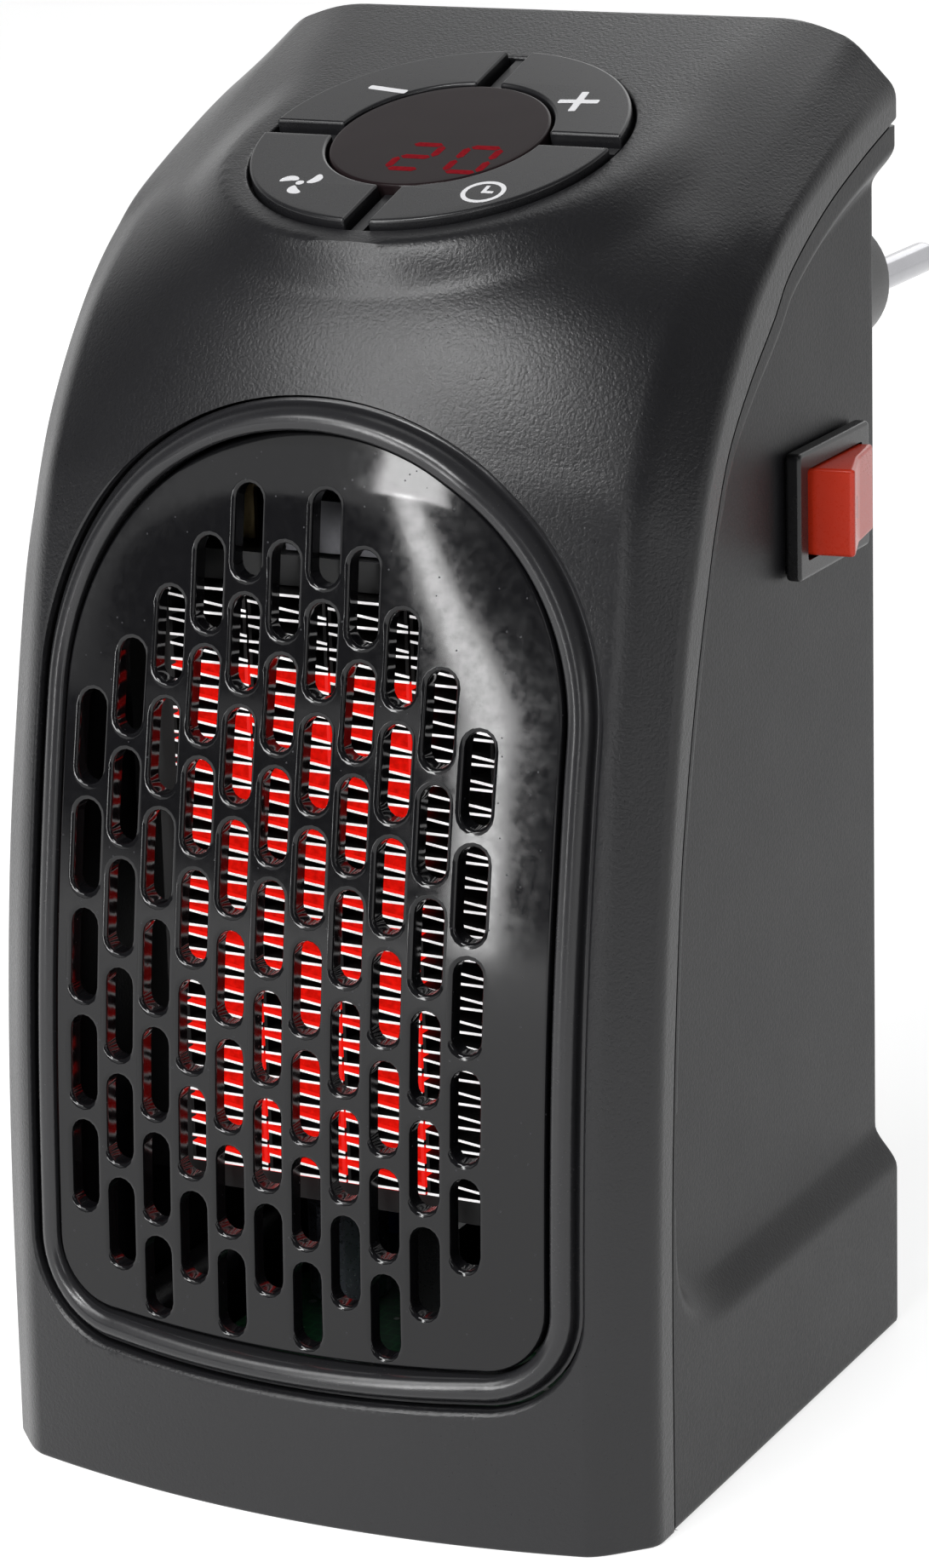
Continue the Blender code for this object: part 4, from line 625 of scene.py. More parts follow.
def grille_outline(offset):
    half = ARCH_HALF_WIDTH + offset
    corner = GRILLE_CORNER + offset
    inner = half - corner
    corner_z = grille_bottom(inner, offset) + corner
    quarter = np.linspace(0.0, math.pi / 2.0, 13)[1:]
    points = [(half * math.cos(a), ARCH_Z + half * math.sin(a)) for a in np.linspace(0.0, math.pi, 97)]
    points += [(-half, z) for z in np.linspace(ARCH_Z, corner_z, 40)[1:]]
    points += [(-inner - corner * math.cos(a), corner_z - corner * math.sin(a)) for a in quarter]
    points += [(x, grille_bottom(x, offset)) for x in np.linspace(-inner, inner, 40)[1:]]
    points += [(inner + corner * math.sin(a), corner_z - corner * math.cos(a)) for a in quarter]
    points += [(half, z) for z in np.linspace(corner_z, ARCH_Z, 40)[1:-1]]
    return points


def along_front(name, outline_at, section, depth_at):
    """A form whose rings follow a surface of the front: a bead, or a cutter that leaves a lip."""
    return formed(name, [closed([(x, depth_at(x, z) - rise * MM, z) for x, z in outline_at(offset * MM)])
                         for offset, rise in section])


def make_hood(finish):
    hood = hood_volume("hood", 0.0, GAP / 2.0, END_ROUND)
    cut(hood, hood_volume("hood_cavity", WALL, OVERRUN - WALL, 0.0))
    cut(hood, along_front("grille_opening", lambda offset: grille_outline(GRILLE_HOLE + offset),
                          RIM_LIP, front_y))
    lip = KEY_HOLE_ROUND
    hole = ((0.0, -WALL * 2.0), (KEY_HOLE_RADIUS, -WALL * 2.0), (KEY_HOLE_RADIUS, -lip),
            (KEY_HOLE_RADIUS + lip * 0.13, -lip * 0.5), (KEY_HOLE_RADIUS + lip * 0.5, -lip * 0.13),
            (KEY_HOLE_RADIUS + lip * 1.3, lip * 0.3), (KEY_HOLE_RADIUS + lip * 1.3, OVERRUN / 2.0),
            (0.0, OVERRUN / 2.0))
    cut(hood, turned("keypad_hole", hole, TOP_FACING),
        cylinder("keypad_pocket", KEY_POCKET_RADIUS, -KEY_POCKET_DEPTH, -WALL - GAP, TOP_FACING, 96))
    end_y = REAR_Y - WALL - BOSS_LENGTH - GAP
    for index, (x, z) in enumerate(SCREW_PLACES):
        start_y = max(float(front_y(x + across, z + up)) + WALL * 0.6
                      for across, up in circle(POST_RADIUS, sides=8))
        facing = Matrix.Translation((x, 0.0, z)) @ DEPTH_FACING
        fuse(hood, cylinder(f"post_{index + 1}", POST_RADIUS, start_y, end_y, facing, 24))
        cut(hood, cylinder(f"post_bore_{index + 1}", SCREW_HOLE_RADIUS, end_y - SCREW_BITE, end_y + WALL,
                           facing, 16))
    shade(hood)
    dress(hood, "case", finish, "hood_plastic", "front_shell")


# Rear case

def outline_distance(points, outline):
    """Distance of each (y, z) point to a closed outline, positive inside it."""
    start = np.array(outline)
    end = np.roll(start, -1, axis=0)
    step = end - start
    away = points[:, None, :] - start
    along = np.clip((away * step).sum(2) / (step ** 2).sum(1), 0.0, 1.0)
    gap = away - along[..., None] * step
    nearest = np.hypot(gap[..., 0], gap[..., 1]).min(1)
    straddles = (start[:, 1] > points[:, None, 1]) != (end[:, 1] > points[:, None, 1])
    climb = np.where(step[:, 1] == 0.0, 1.0, step[:, 1])
    before = points[:, None, 0] < away[..., 1] / climb * step[:, 0] + start[:, 0]
    return np.where((straddles & before).sum(1) % 2 == 1, nearest, -nearest)


def recess_outline(widths, ledge):
    """Outline in (y, z) of the side recess, set in from the parting line by the widths."""
    run = np.concatenate([[0.0], np.cumsum(np.hypot(*np.diff(PARTING, axis=0).T))])
    width = np.interp(run / run[-1], RECESS_WIDTH_SHARES, widths)
    edge = PARTING - PARTING_OUTWARD * width[:, None]
    start_z = ledge + LEDGE_CORNER_RISE
    start_y = float(np.interp(start_z, edge[:, 1], edge[:, 0]))
    base_y = float(np.interp(ledge, edge[:, 1], edge[:, 0]))
    first = int(np.searchsorted(PARTING[:, 1], LEDGE_FLOOR_Z + LEDGE_CORNER_RISE)) + 1
    upper = [tuple(point) for point in edge[first:]]
    corner = []
    for share in np.linspace(0.0, 1.0, 16):
        far = 1.0 - share
        corner.append((far * far * (base_y + LEDGE_CORNER_RUN) + 2.0 * far * share * base_y
                       + share * share * start_y,
                       far * far * ledge + 2.0 * far * share * ledge + share * share * start_z))
    return upper + [(upper[-1][0], ledge)] + corner


def recess_depth(points):
    """Depth of the side recess at each (y, z): a soft slope from its rim down to its floor."""
    rim = outline_distance(points, recess_outline(RECESS_RIM_WIDTHS, LEDGE_RIM_Z))
    floor = outline_distance(points, recess_outline(RECESS_FLOOR_WIDTHS, LEDGE_FLOOR_Z))
    share = np.clip(rim / np.maximum(rim - floor, MERGE), 0.0, 1.0)
    return RECESS_DEPTH * np.where(floor >= 0.0, 1.0, eased(share))


def case_slice(y_start, z):
    """One level slice of the rear case: along a side, round the back and along the other side."""
    reach = REAR_Y - CASE_EDGE - y_start
    ys = y_start + reach * np.linspace(0.0, 1.0, CASE_COLUMNS) ** CASE_CROWDING
    side = [(HALF_WIDTH, y) for y in ys]
    for angle in np.linspace(0.0, math.pi / 2.0, 6)[1:]:
        side.append((HALF_WIDTH - CASE_EDGE * (1.0 - math.cos(angle)),
                     REAR_Y - CASE_EDGE * (1.0 - math.sin(angle))))
    depth = recess_depth(np.array([(y, z) for x, y in side]))
    right = [(x - sunk, y, z) for (x, y), sunk in zip(side, depth)]
    left = [(-x, y, z) for x, y, z in right[::-1]]
    return closed(right + left)


def case_rows():
    """Start in y and height of each level slice of the rear case, down the parting line."""
    line = PARTING - PARTING_OUTWARD * GAP / 2.0
    kept = line[(line[:, 1] > CASE_FOOT * 1.5) & (line[:, 0] < REAR_Y - CASE_EDGE * 2.0)]
    foot = np.array([float(np.interp(CASE_FOOT, line[:, 1], line[:, 0])), CASE_FOOT])
    return [foot] + list(kept)


def intake_cutter():
    rings = []
    for offset, rise in SLOT_LIP:
        outline = obround(0.0, -INTAKE_LENGTH / 2.0 - offset * MM, INTAKE_LENGTH / 2.0 + offset * MM,
                          INTAKE_WIDTH + 2.0 * offset * MM)
        depth = max(rise * MM, -WALL * 2.0)
        rings.append(closed([(across, -side, REAR_Y + depth) for side, across in outline]))
    first = formed("intake_slot", rings, DEPTH_FACING)
    slots = [first]
    for row in range(1, INTAKE_ROWS):
        activate(first)
        bpy.ops.object.duplicate()
        slots.append(bpy.context.object)
    for row, slot in enumerate(slots):
        z = INTAKE_Z + (row - (INTAKE_ROWS - 1) / 2) * INTAKE_PITCH
        settle(slot, Matrix.Translation((0.0, 0.0, z)))
    return joined("intake_slots", slots)


def make_rear_case(finish):
    rear = formed("rear_case", [case_slice(y, z) for y, z in case_rows()])
    roll_end(rear, (0.0, 0.0, -1.0), CASE_FOOT)
    for vertex in rear.data.vertices:
        vertex.co.z = max(vertex.co.z, 0.0)
    tidy(rear)
    inner_y = REAR_Y - WALL
    depth = inner_y + OVERRUN * 4.0
    inner_x = HALF_WIDTH - RECESS_DEPTH - WALL
    cut(rear, block("case_cavity", (inner_x * 2.0, depth, CREASE_HEIGHT),
                    (0.0, inner_y - depth / 2.0, WALL + CREASE_HEIGHT / 2.0)))
    for index, (x, z) in enumerate(SCREW_PLACES):
        facing = Matrix.Translation((x, 0.0, z)) @ DEPTH_FACING
        fuse(rear, cylinder(f"boss_{index + 1}", BOSS_RADIUS, inner_y - BOSS_LENGTH, inner_y + GAP,
                            facing, 32))
        bore = COUNTERBORE_RADIUS
        hole_end = -BOSS_LENGTH - 2.0 * WALL
        profile = ((0.0, hole_end), (SCREW_HOLE_RADIUS, hole_end), (SCREW_HOLE_RADIUS, -COUNTERBORE_DEPTH),
                   (bore, -COUNTERBORE_DEPTH), *((bore + out * MM, up * MM) for out, up in BORE_LIP),
                   (0.0, BORE_LIP[-1][1] * MM))
        cut(rear, turned(f"screw_bore_{index + 1}", profile,
                         facing @ Matrix.Translation((0.0, 0.0, REAR_Y)), 48))
    for index, (x, z) in enumerate(DUCT_POST_PLACES):
        facing = Matrix.Translation((x, 0.0, z)) @ DEPTH_FACING
        fuse(rear, cylinder(f"duct_post_{index + 1}", DUCT_POST_RADIUS, DUCT_PLATE_BACK_Y + GAP,
                            inner_y + GAP, facing, 24))
    for index, place in enumerate(BOARD_PEG_PLACES):
        fuse(rear, cylinder(f"board_peg_{index + 1}", BOARD_PEG_RADIUS, WALL - GAP, BOARD_PEG_TOP,
                            sides=24, centre=place))
    cut(rear, block("switch_hole", (OVERRUN, SWITCH_BODY[0] + GAP * 2.0, SWITCH_BODY[1] + GAP * 2.0),
                    (HALF_WIDTH - RECESS_DEPTH, SWITCH_Y, SWITCH_Z)),
        cylinder("turntable_hole", HUB_RADIUS + GAP, REAR_Y - WALL * 3.0, REAR_Y + WALL, PLUG_FACING, 96),
        intake_cutter())
    shade(rear)
    dress(rear, "case", finish, "body_plastic", "rear_shell")


# Grille

def slot_places():
    places = []
    columns = len(SLOT_TOP_STEPS)
    for column in range(columns):
        x = SLOT_SHIFT + (column - (columns - 1) / 2) * SLOT_PITCH_X
        for step in range(SLOT_BOTTOM_STEPS[column], SLOT_TOP_STEPS[column] + 1, 2):
            middle = SLOT_CENTRE_Z + step * SLOT_PITCH_Z / 2.0
            low = max(middle - SLOT_LENGTH / 2.0, grille_bottom(x) + SLOT_MARGIN)
            places.append((x, low, middle + SLOT_LENGTH / 2.0))
    return places


def slot_cutter(index, x, low, high):
    def outline_at(offset):
        return obround(x, low - offset, high + offset, SLOT_WIDTH + 2.0 * offset)
    return along_front(f"slot_{index + 1}", outline_at, SLOT_LIP, panel_y)


def make_grille(finish):
    reach = ARCH_HALF_WIDTH + WALL
    xs = np.linspace(-reach, reach, PANEL_COLUMNS)
    back_xs = xs[::-6]
    slices = []
    for z in np.linspace(GRILLE_BOTTOM_Z - WALL, ARCH_Z + reach, PANEL_ROWS):
        ring = [(x, panel_y(x, z), z) for x in xs]
        ring += [(x, panel_y(x, z) + PANEL_THICKNESS, z) for x in back_xs]
        slices.append(closed(ring))
    panel = formed("grille", slices)
    combine(panel, 'INTERSECT', along_front("grille_edge", grille_outline, PANEL_EDGE, panel_y))
    slots = [slot_cutter(index, *place) for index, place in enumerate(slot_places())]
    cut(panel, joined("slots", slots))
    shade(panel)
    true_front(panel)
    dress(panel, "case", finish, "grille_gloss", "grille_panel")


def make_bezel(finish):
    wall_low, *bead, wall_high = BEZEL_SECTION
    section = [wall_low, *through(bead, np.linspace(0.0, 1.0, BEAD_STEPS)), wall_high]
    bezel = along_front("grille_bead", grille_outline, closed(section), front_y)
    shade(bezel)
    dress(bezel, "case", finish, "grille_gloss", "grille_bezel")


# Keypad

def key_outline(quarter):
    """One quarter of the ring, its sides parallel to the grooves, its corners rounded."""
    inner = WINDOW_RADIUS + KEY_FIT
    outer = KEY_HOLE_RADIUS - KEY_FIT
    half = KEY_GROOVE / 2.0
    turn = quarter * math.pi / 2.0
    arcs = []
    for radius, order in ((inner, 1), (outer, -1)):
        start = math.asin(half / radius)
        angles = np.linspace(start, math.pi / 2.0 - start, 33)[::order]
        arcs.append([(radius * math.cos(a + turn), radius * math.sin(a + turn)) for a in angles])
    outline = []
    for arc, other in (arcs, arcs[::-1]):
        outline += rounded(other[-1], arc[0], arc[1], KEY_CORNER) + arc[1:-1]
        outline += rounded(arc[-2], arc[-1], other[0], KEY_CORNER)
    return outline


def key_place(quarter):
    radius = (WINDOW_RADIUS + KEY_HOLE_RADIUS) / 2.0
    angle = (quarter + 0.5) * math.pi / 2.0
    return radius * math.cos(angle), radius * math.sin(angle)


def make_key(quarter, name, body, finish):
    underside = -FLOOR_DEPTH + KEY_TRAVEL + GAP
    key = cut_out(f"{name}_cap", [key_outline(quarter)], underside, KEY_PROUD, TOP_FACING, KEY_EDGE)
    fuse(key, cylinder(f"{name}_stem", KEY_STEM_RADIUS, PLUNGER_TOP + KEY_TRAVEL + GAP, underside + GAP,
                       TOP_FACING, 24, key_place(quarter)))
    shade(key)
    dress(key, body, finish, "key_plastic", name)


def mark(name, outlines, turn, centre, body, finish):
    """White marks printed on a key, a few hundredths of a millimetre thick."""
    facing = TOP_FACING @ Matrix.Translation((*centre, 0.0)) @ Matrix.Rotation(turn, 4, 'Z')
    piece = cut_out(name, outlines, KEY_PROUD, KEY_PROUD + INK, facing)
    dress(piece, body, finish, "key_plastic")


def bar(size):
    """A bar with rounded corners."""
    return soft_corners(rectangle(size), min(size) * 0.3, 4)


MINUS_SIZE = (5.4 * MM, 0.9 * MM)
MINUS_PLACE = (-11.8 * MM, 10.5 * MM)
MINUS_TURN = -10.0 * DEGREE
PLUS_REACH = 2.5 * MM
PLUS_ARM = 0.45 * MM
PLUS_PLACE = (13.35 * MM, 9.5 * MM)
PLUS_TURN = 4.0 * DEGREE
FAN_HUB = 0.5 * MM
FAN_BLADE_MIDDLE = 1.8
FAN_BLADE_ROOT = 0.2
FAN_BLADE_TWIST = 0.3
FAN_PLACE = (-11.1 * MM, -14.0 * MM)
CLOCK_RADII = (2.6 * MM, 2.05 * MM)
CLOCK_HAND = 0.25 * MM
CLOCK_REACH = (1.2 * MM, 1.5 * MM)
CLOCK_PLACE = (12.1 * MM, -13.9 * MM)


def make_marks(finish):
    """Minus and plus, a fan for the speed key and a clock for the timer key."""
    mark("minus_mark", [bar(MINUS_SIZE)], MINUS_TURN, MINUS_PLACE, "minus_key", finish)
    arm, reach = PLUS_ARM, PLUS_REACH
    cross = [(arm, arm), (arm, reach), (-arm, reach), (-arm, arm), (-reach, arm), (-reach, -arm),
             (-arm, -arm), (-arm, -reach), (arm, -reach), (arm, -arm), (reach, -arm), (reach, arm)]
    mark("plus_mark", [soft_corners(cross, PLUS_ARM / 3.0, 3)], PLUS_TURN, PLUS_PLACE, "plus_key", finish)
    blades = [circle(FAN_HUB, sides=20)]
    for index in range(3):
        blade = []
        for angle in np.linspace(0.0, 2.0 * math.pi, 24, endpoint=False):
            radius = (FAN_BLADE_MIDDLE - math.cos(angle)) * MM
            across = (FAN_BLADE_ROOT + FAN_BLADE_TWIST * radius / MM) * MM * math.sin(angle)
            turn = index * 2.0 * math.pi / 3.0 + FAN_BLADE_TWIST * radius / MM
            blade.append((radius * math.cos(turn) - across * math.sin(turn),
                          radius * math.sin(turn) + across * math.cos(turn)))
        blades.append(blade)
    mark("speed_mark", blades, 0.0, FAN_PLACE, "speed_key", finish)
    mark("timer_ring_mark", [circle(radius) for radius in CLOCK_RADII], 0.0, CLOCK_PLACE, "timer_key",
         finish)
    hand = CLOCK_HAND
    hands = [(-hand, -hand), (CLOCK_REACH[0], -hand), (CLOCK_REACH[0], hand), (hand, hand),
             (hand, CLOCK_REACH[1]), (-hand, CLOCK_REACH[1])]
    mark("timer_hands_mark", [soft_corners(hands, 0.08 * MM, 3)], 0.0, CLOCK_PLACE, "timer_key", finish)


def make_window(finish):
    edge = KEY_EDGE
    radius = WINDOW_RADIUS
    low = WINDOW_PROUD - WINDOW_THICKNESS
    corner = rounded((0.0, WINDOW_PROUD), (radius, WINDOW_PROUD), (radius, low), edge, 6)
    profile = [(0.0, low), (radius, low)] + corner[::-1]
    profile += [(radius * 0.9, WINDOW_PROUD), (0.0, WINDOW_PROUD)]
    window = turned("window", profile, TOP_FACING, 128)
    shade(window)
    dress(window, "case", finish, "smoked_plastic", "display_window")


DIGIT_SEGMENTS = {"top": (0.0, 1.0, 0), "middle": (0.0, 0.0, 0), "bottom": (0.0, -1.0, 0),
                  "upper_left": (-1.0, 0.5, 1), "upper_right": (1.0, 0.5, 1),
                  "lower_left": (-1.0, -0.5, 1), "lower_right": (1.0, -0.5, 1)}
DIGITS = (("top", "upper_right", "middle", "lower_left", "bottom"),
          ("top", "upper_left", "upper_right", "lower_left", "lower_right", "bottom"))
DIGIT_HALF = (2.05 * MM, 3.1 * MM)
DIGIT_STROKE = 0.95 * MM
DIGIT_GAP = 0.2 * MM
DIGIT_SLANT = 4.0 * DEGREE
DIGIT_PLACES = ((-0.35 * MM, -5.8 * MM), (7.0 * MM, -5.9 * MM))


def make_digits(finish):
    """A two-digit reading in seven-segment figures, laid on the face of the smoked window."""
    outlines = []
    for lit, (centre_x, centre_y) in zip(DIGITS, DIGIT_PLACES):
        for name in lit:
            across, up, upright = DIGIT_SEGMENTS[name]
            x, y = across * DIGIT_HALF[0], up * DIGIT_HALF[1]
            half = (DIGIT_HALF[1] / 2.0 if upright else DIGIT_HALF[0]) - DIGIT_GAP
            nib = DIGIT_STROKE / 2.0
            shape = [(-half, 0.0), (-half + nib, -nib), (half - nib, -nib), (half, 0.0),
                     (half - nib, nib), (-half + nib, nib)]
            if upright:
                shape = [(-b, a) for a, b in shape]
            outlines.append([(centre_x + x + a + (y + b) * math.tan(DIGIT_SLANT), centre_y + y + b)
                             for a, b in shape])
    digits = cut_out("digits", outlines, WINDOW_PROUD, WINDOW_PROUD + INK, TOP_FACING)
    dress(digits, "case", finish, "smoked_plastic")


# Rocker switch

def make_switch(housing_finish, rocker_finish, mark_finish):
    panel = -SWITCH_BEZEL_THICKNESS
    back = panel - SWITCH_BODY_DEPTH
    bezel = soft_corners(rectangle(SWITCH_BEZEL), SWITCH_BEZEL_CORNER)
    housing = cut_out("switch_frame", [bezel], panel, 0.0, SWITCH_FACING, SWITCH_EDGE)
    fuse(housing, cut_out("switch_body", [rectangle(SWITCH_BODY)], back, panel + GAP, SWITCH_FACING))
    opening = soft_corners(rectangle(SWITCH_OPENING), SWITCH_OPENING_CORNER)
    pivot = (SWITCH_FACING @ Matrix.Translation((0.0, 0.0, -ROCKER_PIVOT_DEPTH))
             @ Matrix.Rotation(math.pi / 2.0, 4, 'X'))
    reach = ROCKER_HALF_WIDTH + ROCKER_PIN_LENGTH
    cut(housing, cut_out("switch_cavity", [opening], -SWITCH_CAVITY_DEPTH, WALL, SWITCH_FACING),
        cylinder("pivot_bore", ROCKER_PIN_RADIUS + GAP, -reach - GAP, reach + GAP, pivot, 32))
    shade(housing)
    dress(housing, "case", housing_finish, "dark_plastic", "switch_housing")

    rise = ROCKER_HALF_LENGTH * math.tan(ROCKER_VEE)
    top = ROCKER_PIVOT_DEPTH + ROCKER_HEIGHT
    foot = ROCKER_PIVOT_DEPTH - ROCKER_FOOT_DEPTH
    corners = [(-ROCKER_FOOT_HALF_LENGTH, foot), (ROCKER_FOOT_HALF_LENGTH, foot),
               (ROCKER_HALF_LENGTH, top + rise), (0.0, top), (-ROCKER_HALF_LENGTH, top + rise)]
    turn = Matrix.Rotation(ROCKER_TILT, 4, 'Y') @ Matrix.Rotation(math.pi / 2.0, 4, 'X')
    pivot = SWITCH_FACING @ Matrix.Translation((0.0, 0.0, -ROCKER_PIVOT_DEPTH)) @ turn
    rocker = cut_out("rocker_cap", [soft_corners(corners, ROCKER_CORNER)], -ROCKER_HALF_WIDTH,
                     ROCKER_HALF_WIDTH, pivot, ROCKER_EDGE)
    fuse(rocker, cylinder("rocker_pin", ROCKER_PIN_RADIUS, -reach, reach, pivot, 32))
    shade(rocker)
    dress(rocker, "switch_rocker", rocker_finish, "red_plastic", "rocker")
    slope = Matrix.Rotation(-ROCKER_VEE, 4, 'Z') @ Matrix.Rotation(-math.pi / 2.0, 4, 'X')
    face = pivot @ Matrix.Translation((-ROCKER_HALF_LENGTH / 2.0, top + rise / 2.0, 0.0)) @ slope
    line = cut_out("rocker_mark", [bar(ROCKER_MARK_SIZE)], 0.0, INK, face)
    dress(line, "switch_rocker", mark_finish, "red_plastic")


# Mains plug

def neck_ring(size, y):
    corner = min(NECK_NOSE[1] / 2.0 - GAP, min(size) / 2.0 - 0.1 * MM)
    outline = []
    for quarter in range(4):
        side_x = 1.0 if quarter in (0, 3) else -1.0
        side_z = 1.0 if quarter in (0, 1) else -1.0
        middle = (side_x * (size[0] / 2.0 - corner), side_z * (size[1] / 2.0 - corner))
        for angle in np.linspace(quarter, quarter + 1, 13) * math.pi / 2.0:
            outline.append((middle[0] + corner * math.cos(angle), middle[1] + corner * math.sin(angle), y))
    return closed(outline)


def make_plug(body_finish, pin_finish):
    face = REAR_Y + GAP
    flange = face + TURNTABLE_THICKNESS
    edge = rounded((HUB_RADIUS, flange), (TURNTABLE_RADIUS, flange), (TURNTABLE_RADIUS, face),
                   TURNTABLE_EDGE)
    hub_low = REAR_Y - WALL - HUB_DEPTH
    turntable = turned("turntable", [(0.0, hub_low), (HUB_RADIUS, hub_low), (HUB_RADIUS, face),
                                     (TURNTABLE_RADIUS - GAP, face)] + edge[::-1] + [(0.0, flange)],
                       PLUG_FACING, 128)
    shade(turntable)
    dress(turntable, "plug", body_finish, "body_plastic", "plug_turntable")

    nose_y = REAR_Y + NECK_LENGTH
    start = flange + GAP
    rings = []
    for share in np.linspace(0.0, 1.0, 17):
        blend = eased(min(1.0, share / NECK_WAIST_SHARE))
        size = [base + (nose - base) * blend for base, nose in zip(NECK_BASE, NECK_NOSE)]
        rings.append(neck_ring(size, start + (nose_y - NECK_EDGE - start) * share))
    for angle in np.linspace(0.0, math.pi / 2.0, 5)[1:]:
        inset = NECK_EDGE * (1.0 - math.cos(angle))
        rings.append(neck_ring([side - 2.0 * inset for side in NECK_NOSE],
                               nose_y - NECK_EDGE * (1.0 - math.sin(angle))))
    neck = formed("neck", rings, PLUG_FACING)
    for index, side in enumerate((-1.0, 1.0)):
        x = side * PIN_SPACING / 2.0
        cut(neck, cylinder(f"pin_bore_{index + 1}", PIN_RADIUS + GAP, nose_y - PIN_ROOT - GAP,
                           nose_y + WALL, PLUG_FACING, 32, (x, 0.0)))
        tip = rounded((0.0, PIN_LENGTH), (PIN_RADIUS, PIN_LENGTH), (PIN_RADIUS, 0.0), PIN_TIP, 8)
        profile = [(0.0, -PIN_ROOT), (PIN_RADIUS, -PIN_ROOT)] + tip[::-1] + [(0.0, PIN_LENGTH)]
        pin = turned(f"pin_{index + 1}", profile,
                     PLUG_FACING @ Matrix.Translation((x, 0.0, nose_y)), 40)
        shade(pin)
        dress(pin, "plug", pin_finish, "plated_pin", f"plug_pin_{index + 1}")
    shade(neck)
    dress(neck, "plug", body_finish, "body_plastic", "plug_neck")


# Heating element

GLOW_STRIPS = 3
GLOW_RED = (0.8, 0.008, 0.004)
GLOW_DARK_FOLDS = 3
GLOW_FRONT = 0.9 * MM
GLOW_BACK = 4.6 * MM
GLOW_INSETS = (0.1 * MM, 0.05 * MM)


def make_glow(finish):
    """Red-hot air between every second pair of fins, as wedges that fill the folds."""
    width = FIN_STRIPS * (FIN_WIDTH + GAP) - GAP
    pitch = (FIN_HEIGHT - FIN_SHEET) / FIN_PITCHES
    top = ELEMENT_Z + FIN_HEIGHT / 2.0 - FIN_SHEET / 2.0
    margin = FIN_SHEET * 0.5 + 0.02 * MM
    outlines = []
    for strip in range(GLOW_STRIPS):
        left = -width / 2.0 + strip * (FIN_WIDTH + GAP)
        start = left + GLOW_INSETS[0]
        end = left + FIN_WIDTH - FIN_SHEET - GLOW_INSETS[1]
        for fold in range(GLOW_DARK_FOLDS, FIN_PITCHES):
            z = top - fold * pitch
            outlines.append([(start, z - margin), (end, z - margin),
                             (end, z - pitch * FOLD_SHARES[1] + margin),
                             (start, z - pitch * FOLD_SHARES[0] + margin)])
    front = -ELEMENT_FRONT_Y
    glow = cut_out("element_glow", outlines, front - GLOW_BACK, front - GLOW_FRONT, FRONT_FACING)
    dress(glow, "case", finish, "fin_aluminium")


def make_keypad_frame(finish):
    """The keypad frame keeps its CAD form, with its edges softened."""
    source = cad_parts["keypad_frame"]
    piece = bpy.data.objects.new("keypad_frame_moulded", source.data.copy())
    bpy.context.scene.collection.objects.link(piece)
    tidy(piece)
    with editing(piece):
        bpy.ops.mesh.dissolve_limited(angle_limit=1.0 * DEGREE)
    modify(piece, 'BEVEL', width=KEYPAD_FRAME_EDGE, segments=2, limit_method='ANGLE',
           angle_limit=40.0 * DEGREE, use_clamp_overlap=True, harden_normals=False)
    shade(piece)
    dress(piece, "case", finish, "key_plastic", "keypad_frame")


# Materials

def arithmetic(operation):
    """The plain and the mirrored method for one operation on shader values."""
    return (lambda self, other: self.graph.maths(operation, self, other),
            lambda self, other: self.graph.maths(operation, other, self))


class Socket:
    """A shader value that takes part in ordinary arithmetic."""

    def __init__(self, graph, socket):
        self.graph = graph
        self.socket = socket

    __add__, __radd__ = arithmetic('ADD')
    __sub__, __rsub__ = arithmetic('SUBTRACT')
    __mul__, __rmul__ = arithmetic('MULTIPLY')


class Graph:
    """A node tree, and short ways to add and link its nodes."""

    def __init__(self, tree):
        self.tree = tree

    def node(self, kind, settings, sockets, output=0):
        made = self.tree.nodes.new(kind)
        for setting, value in settings.items():
            setattr(made, setting, value)
        for socket, value in sockets.items():
            self.feed(made.inputs[socket], value)
        return Socket(self, made.outputs[output])

    def maths(self, operation, *values):
        return self.node('ShaderNodeMath', {"operation": operation}, dict(enumerate(values)))

    def feed(self, target, value):
        if isinstance(value, Socket):
            self.tree.links.new(value.socket, target)
        else:
            target.default_value = value

    def rays(self):
        """Whether a ray comes from the camera, off a gloss or through a clear piece."""
        return [self.node('ShaderNodeLightPath', {}, {}, f"Is {ray} Ray")
                for ray in ("Camera", "Glossy", "Transmission")]


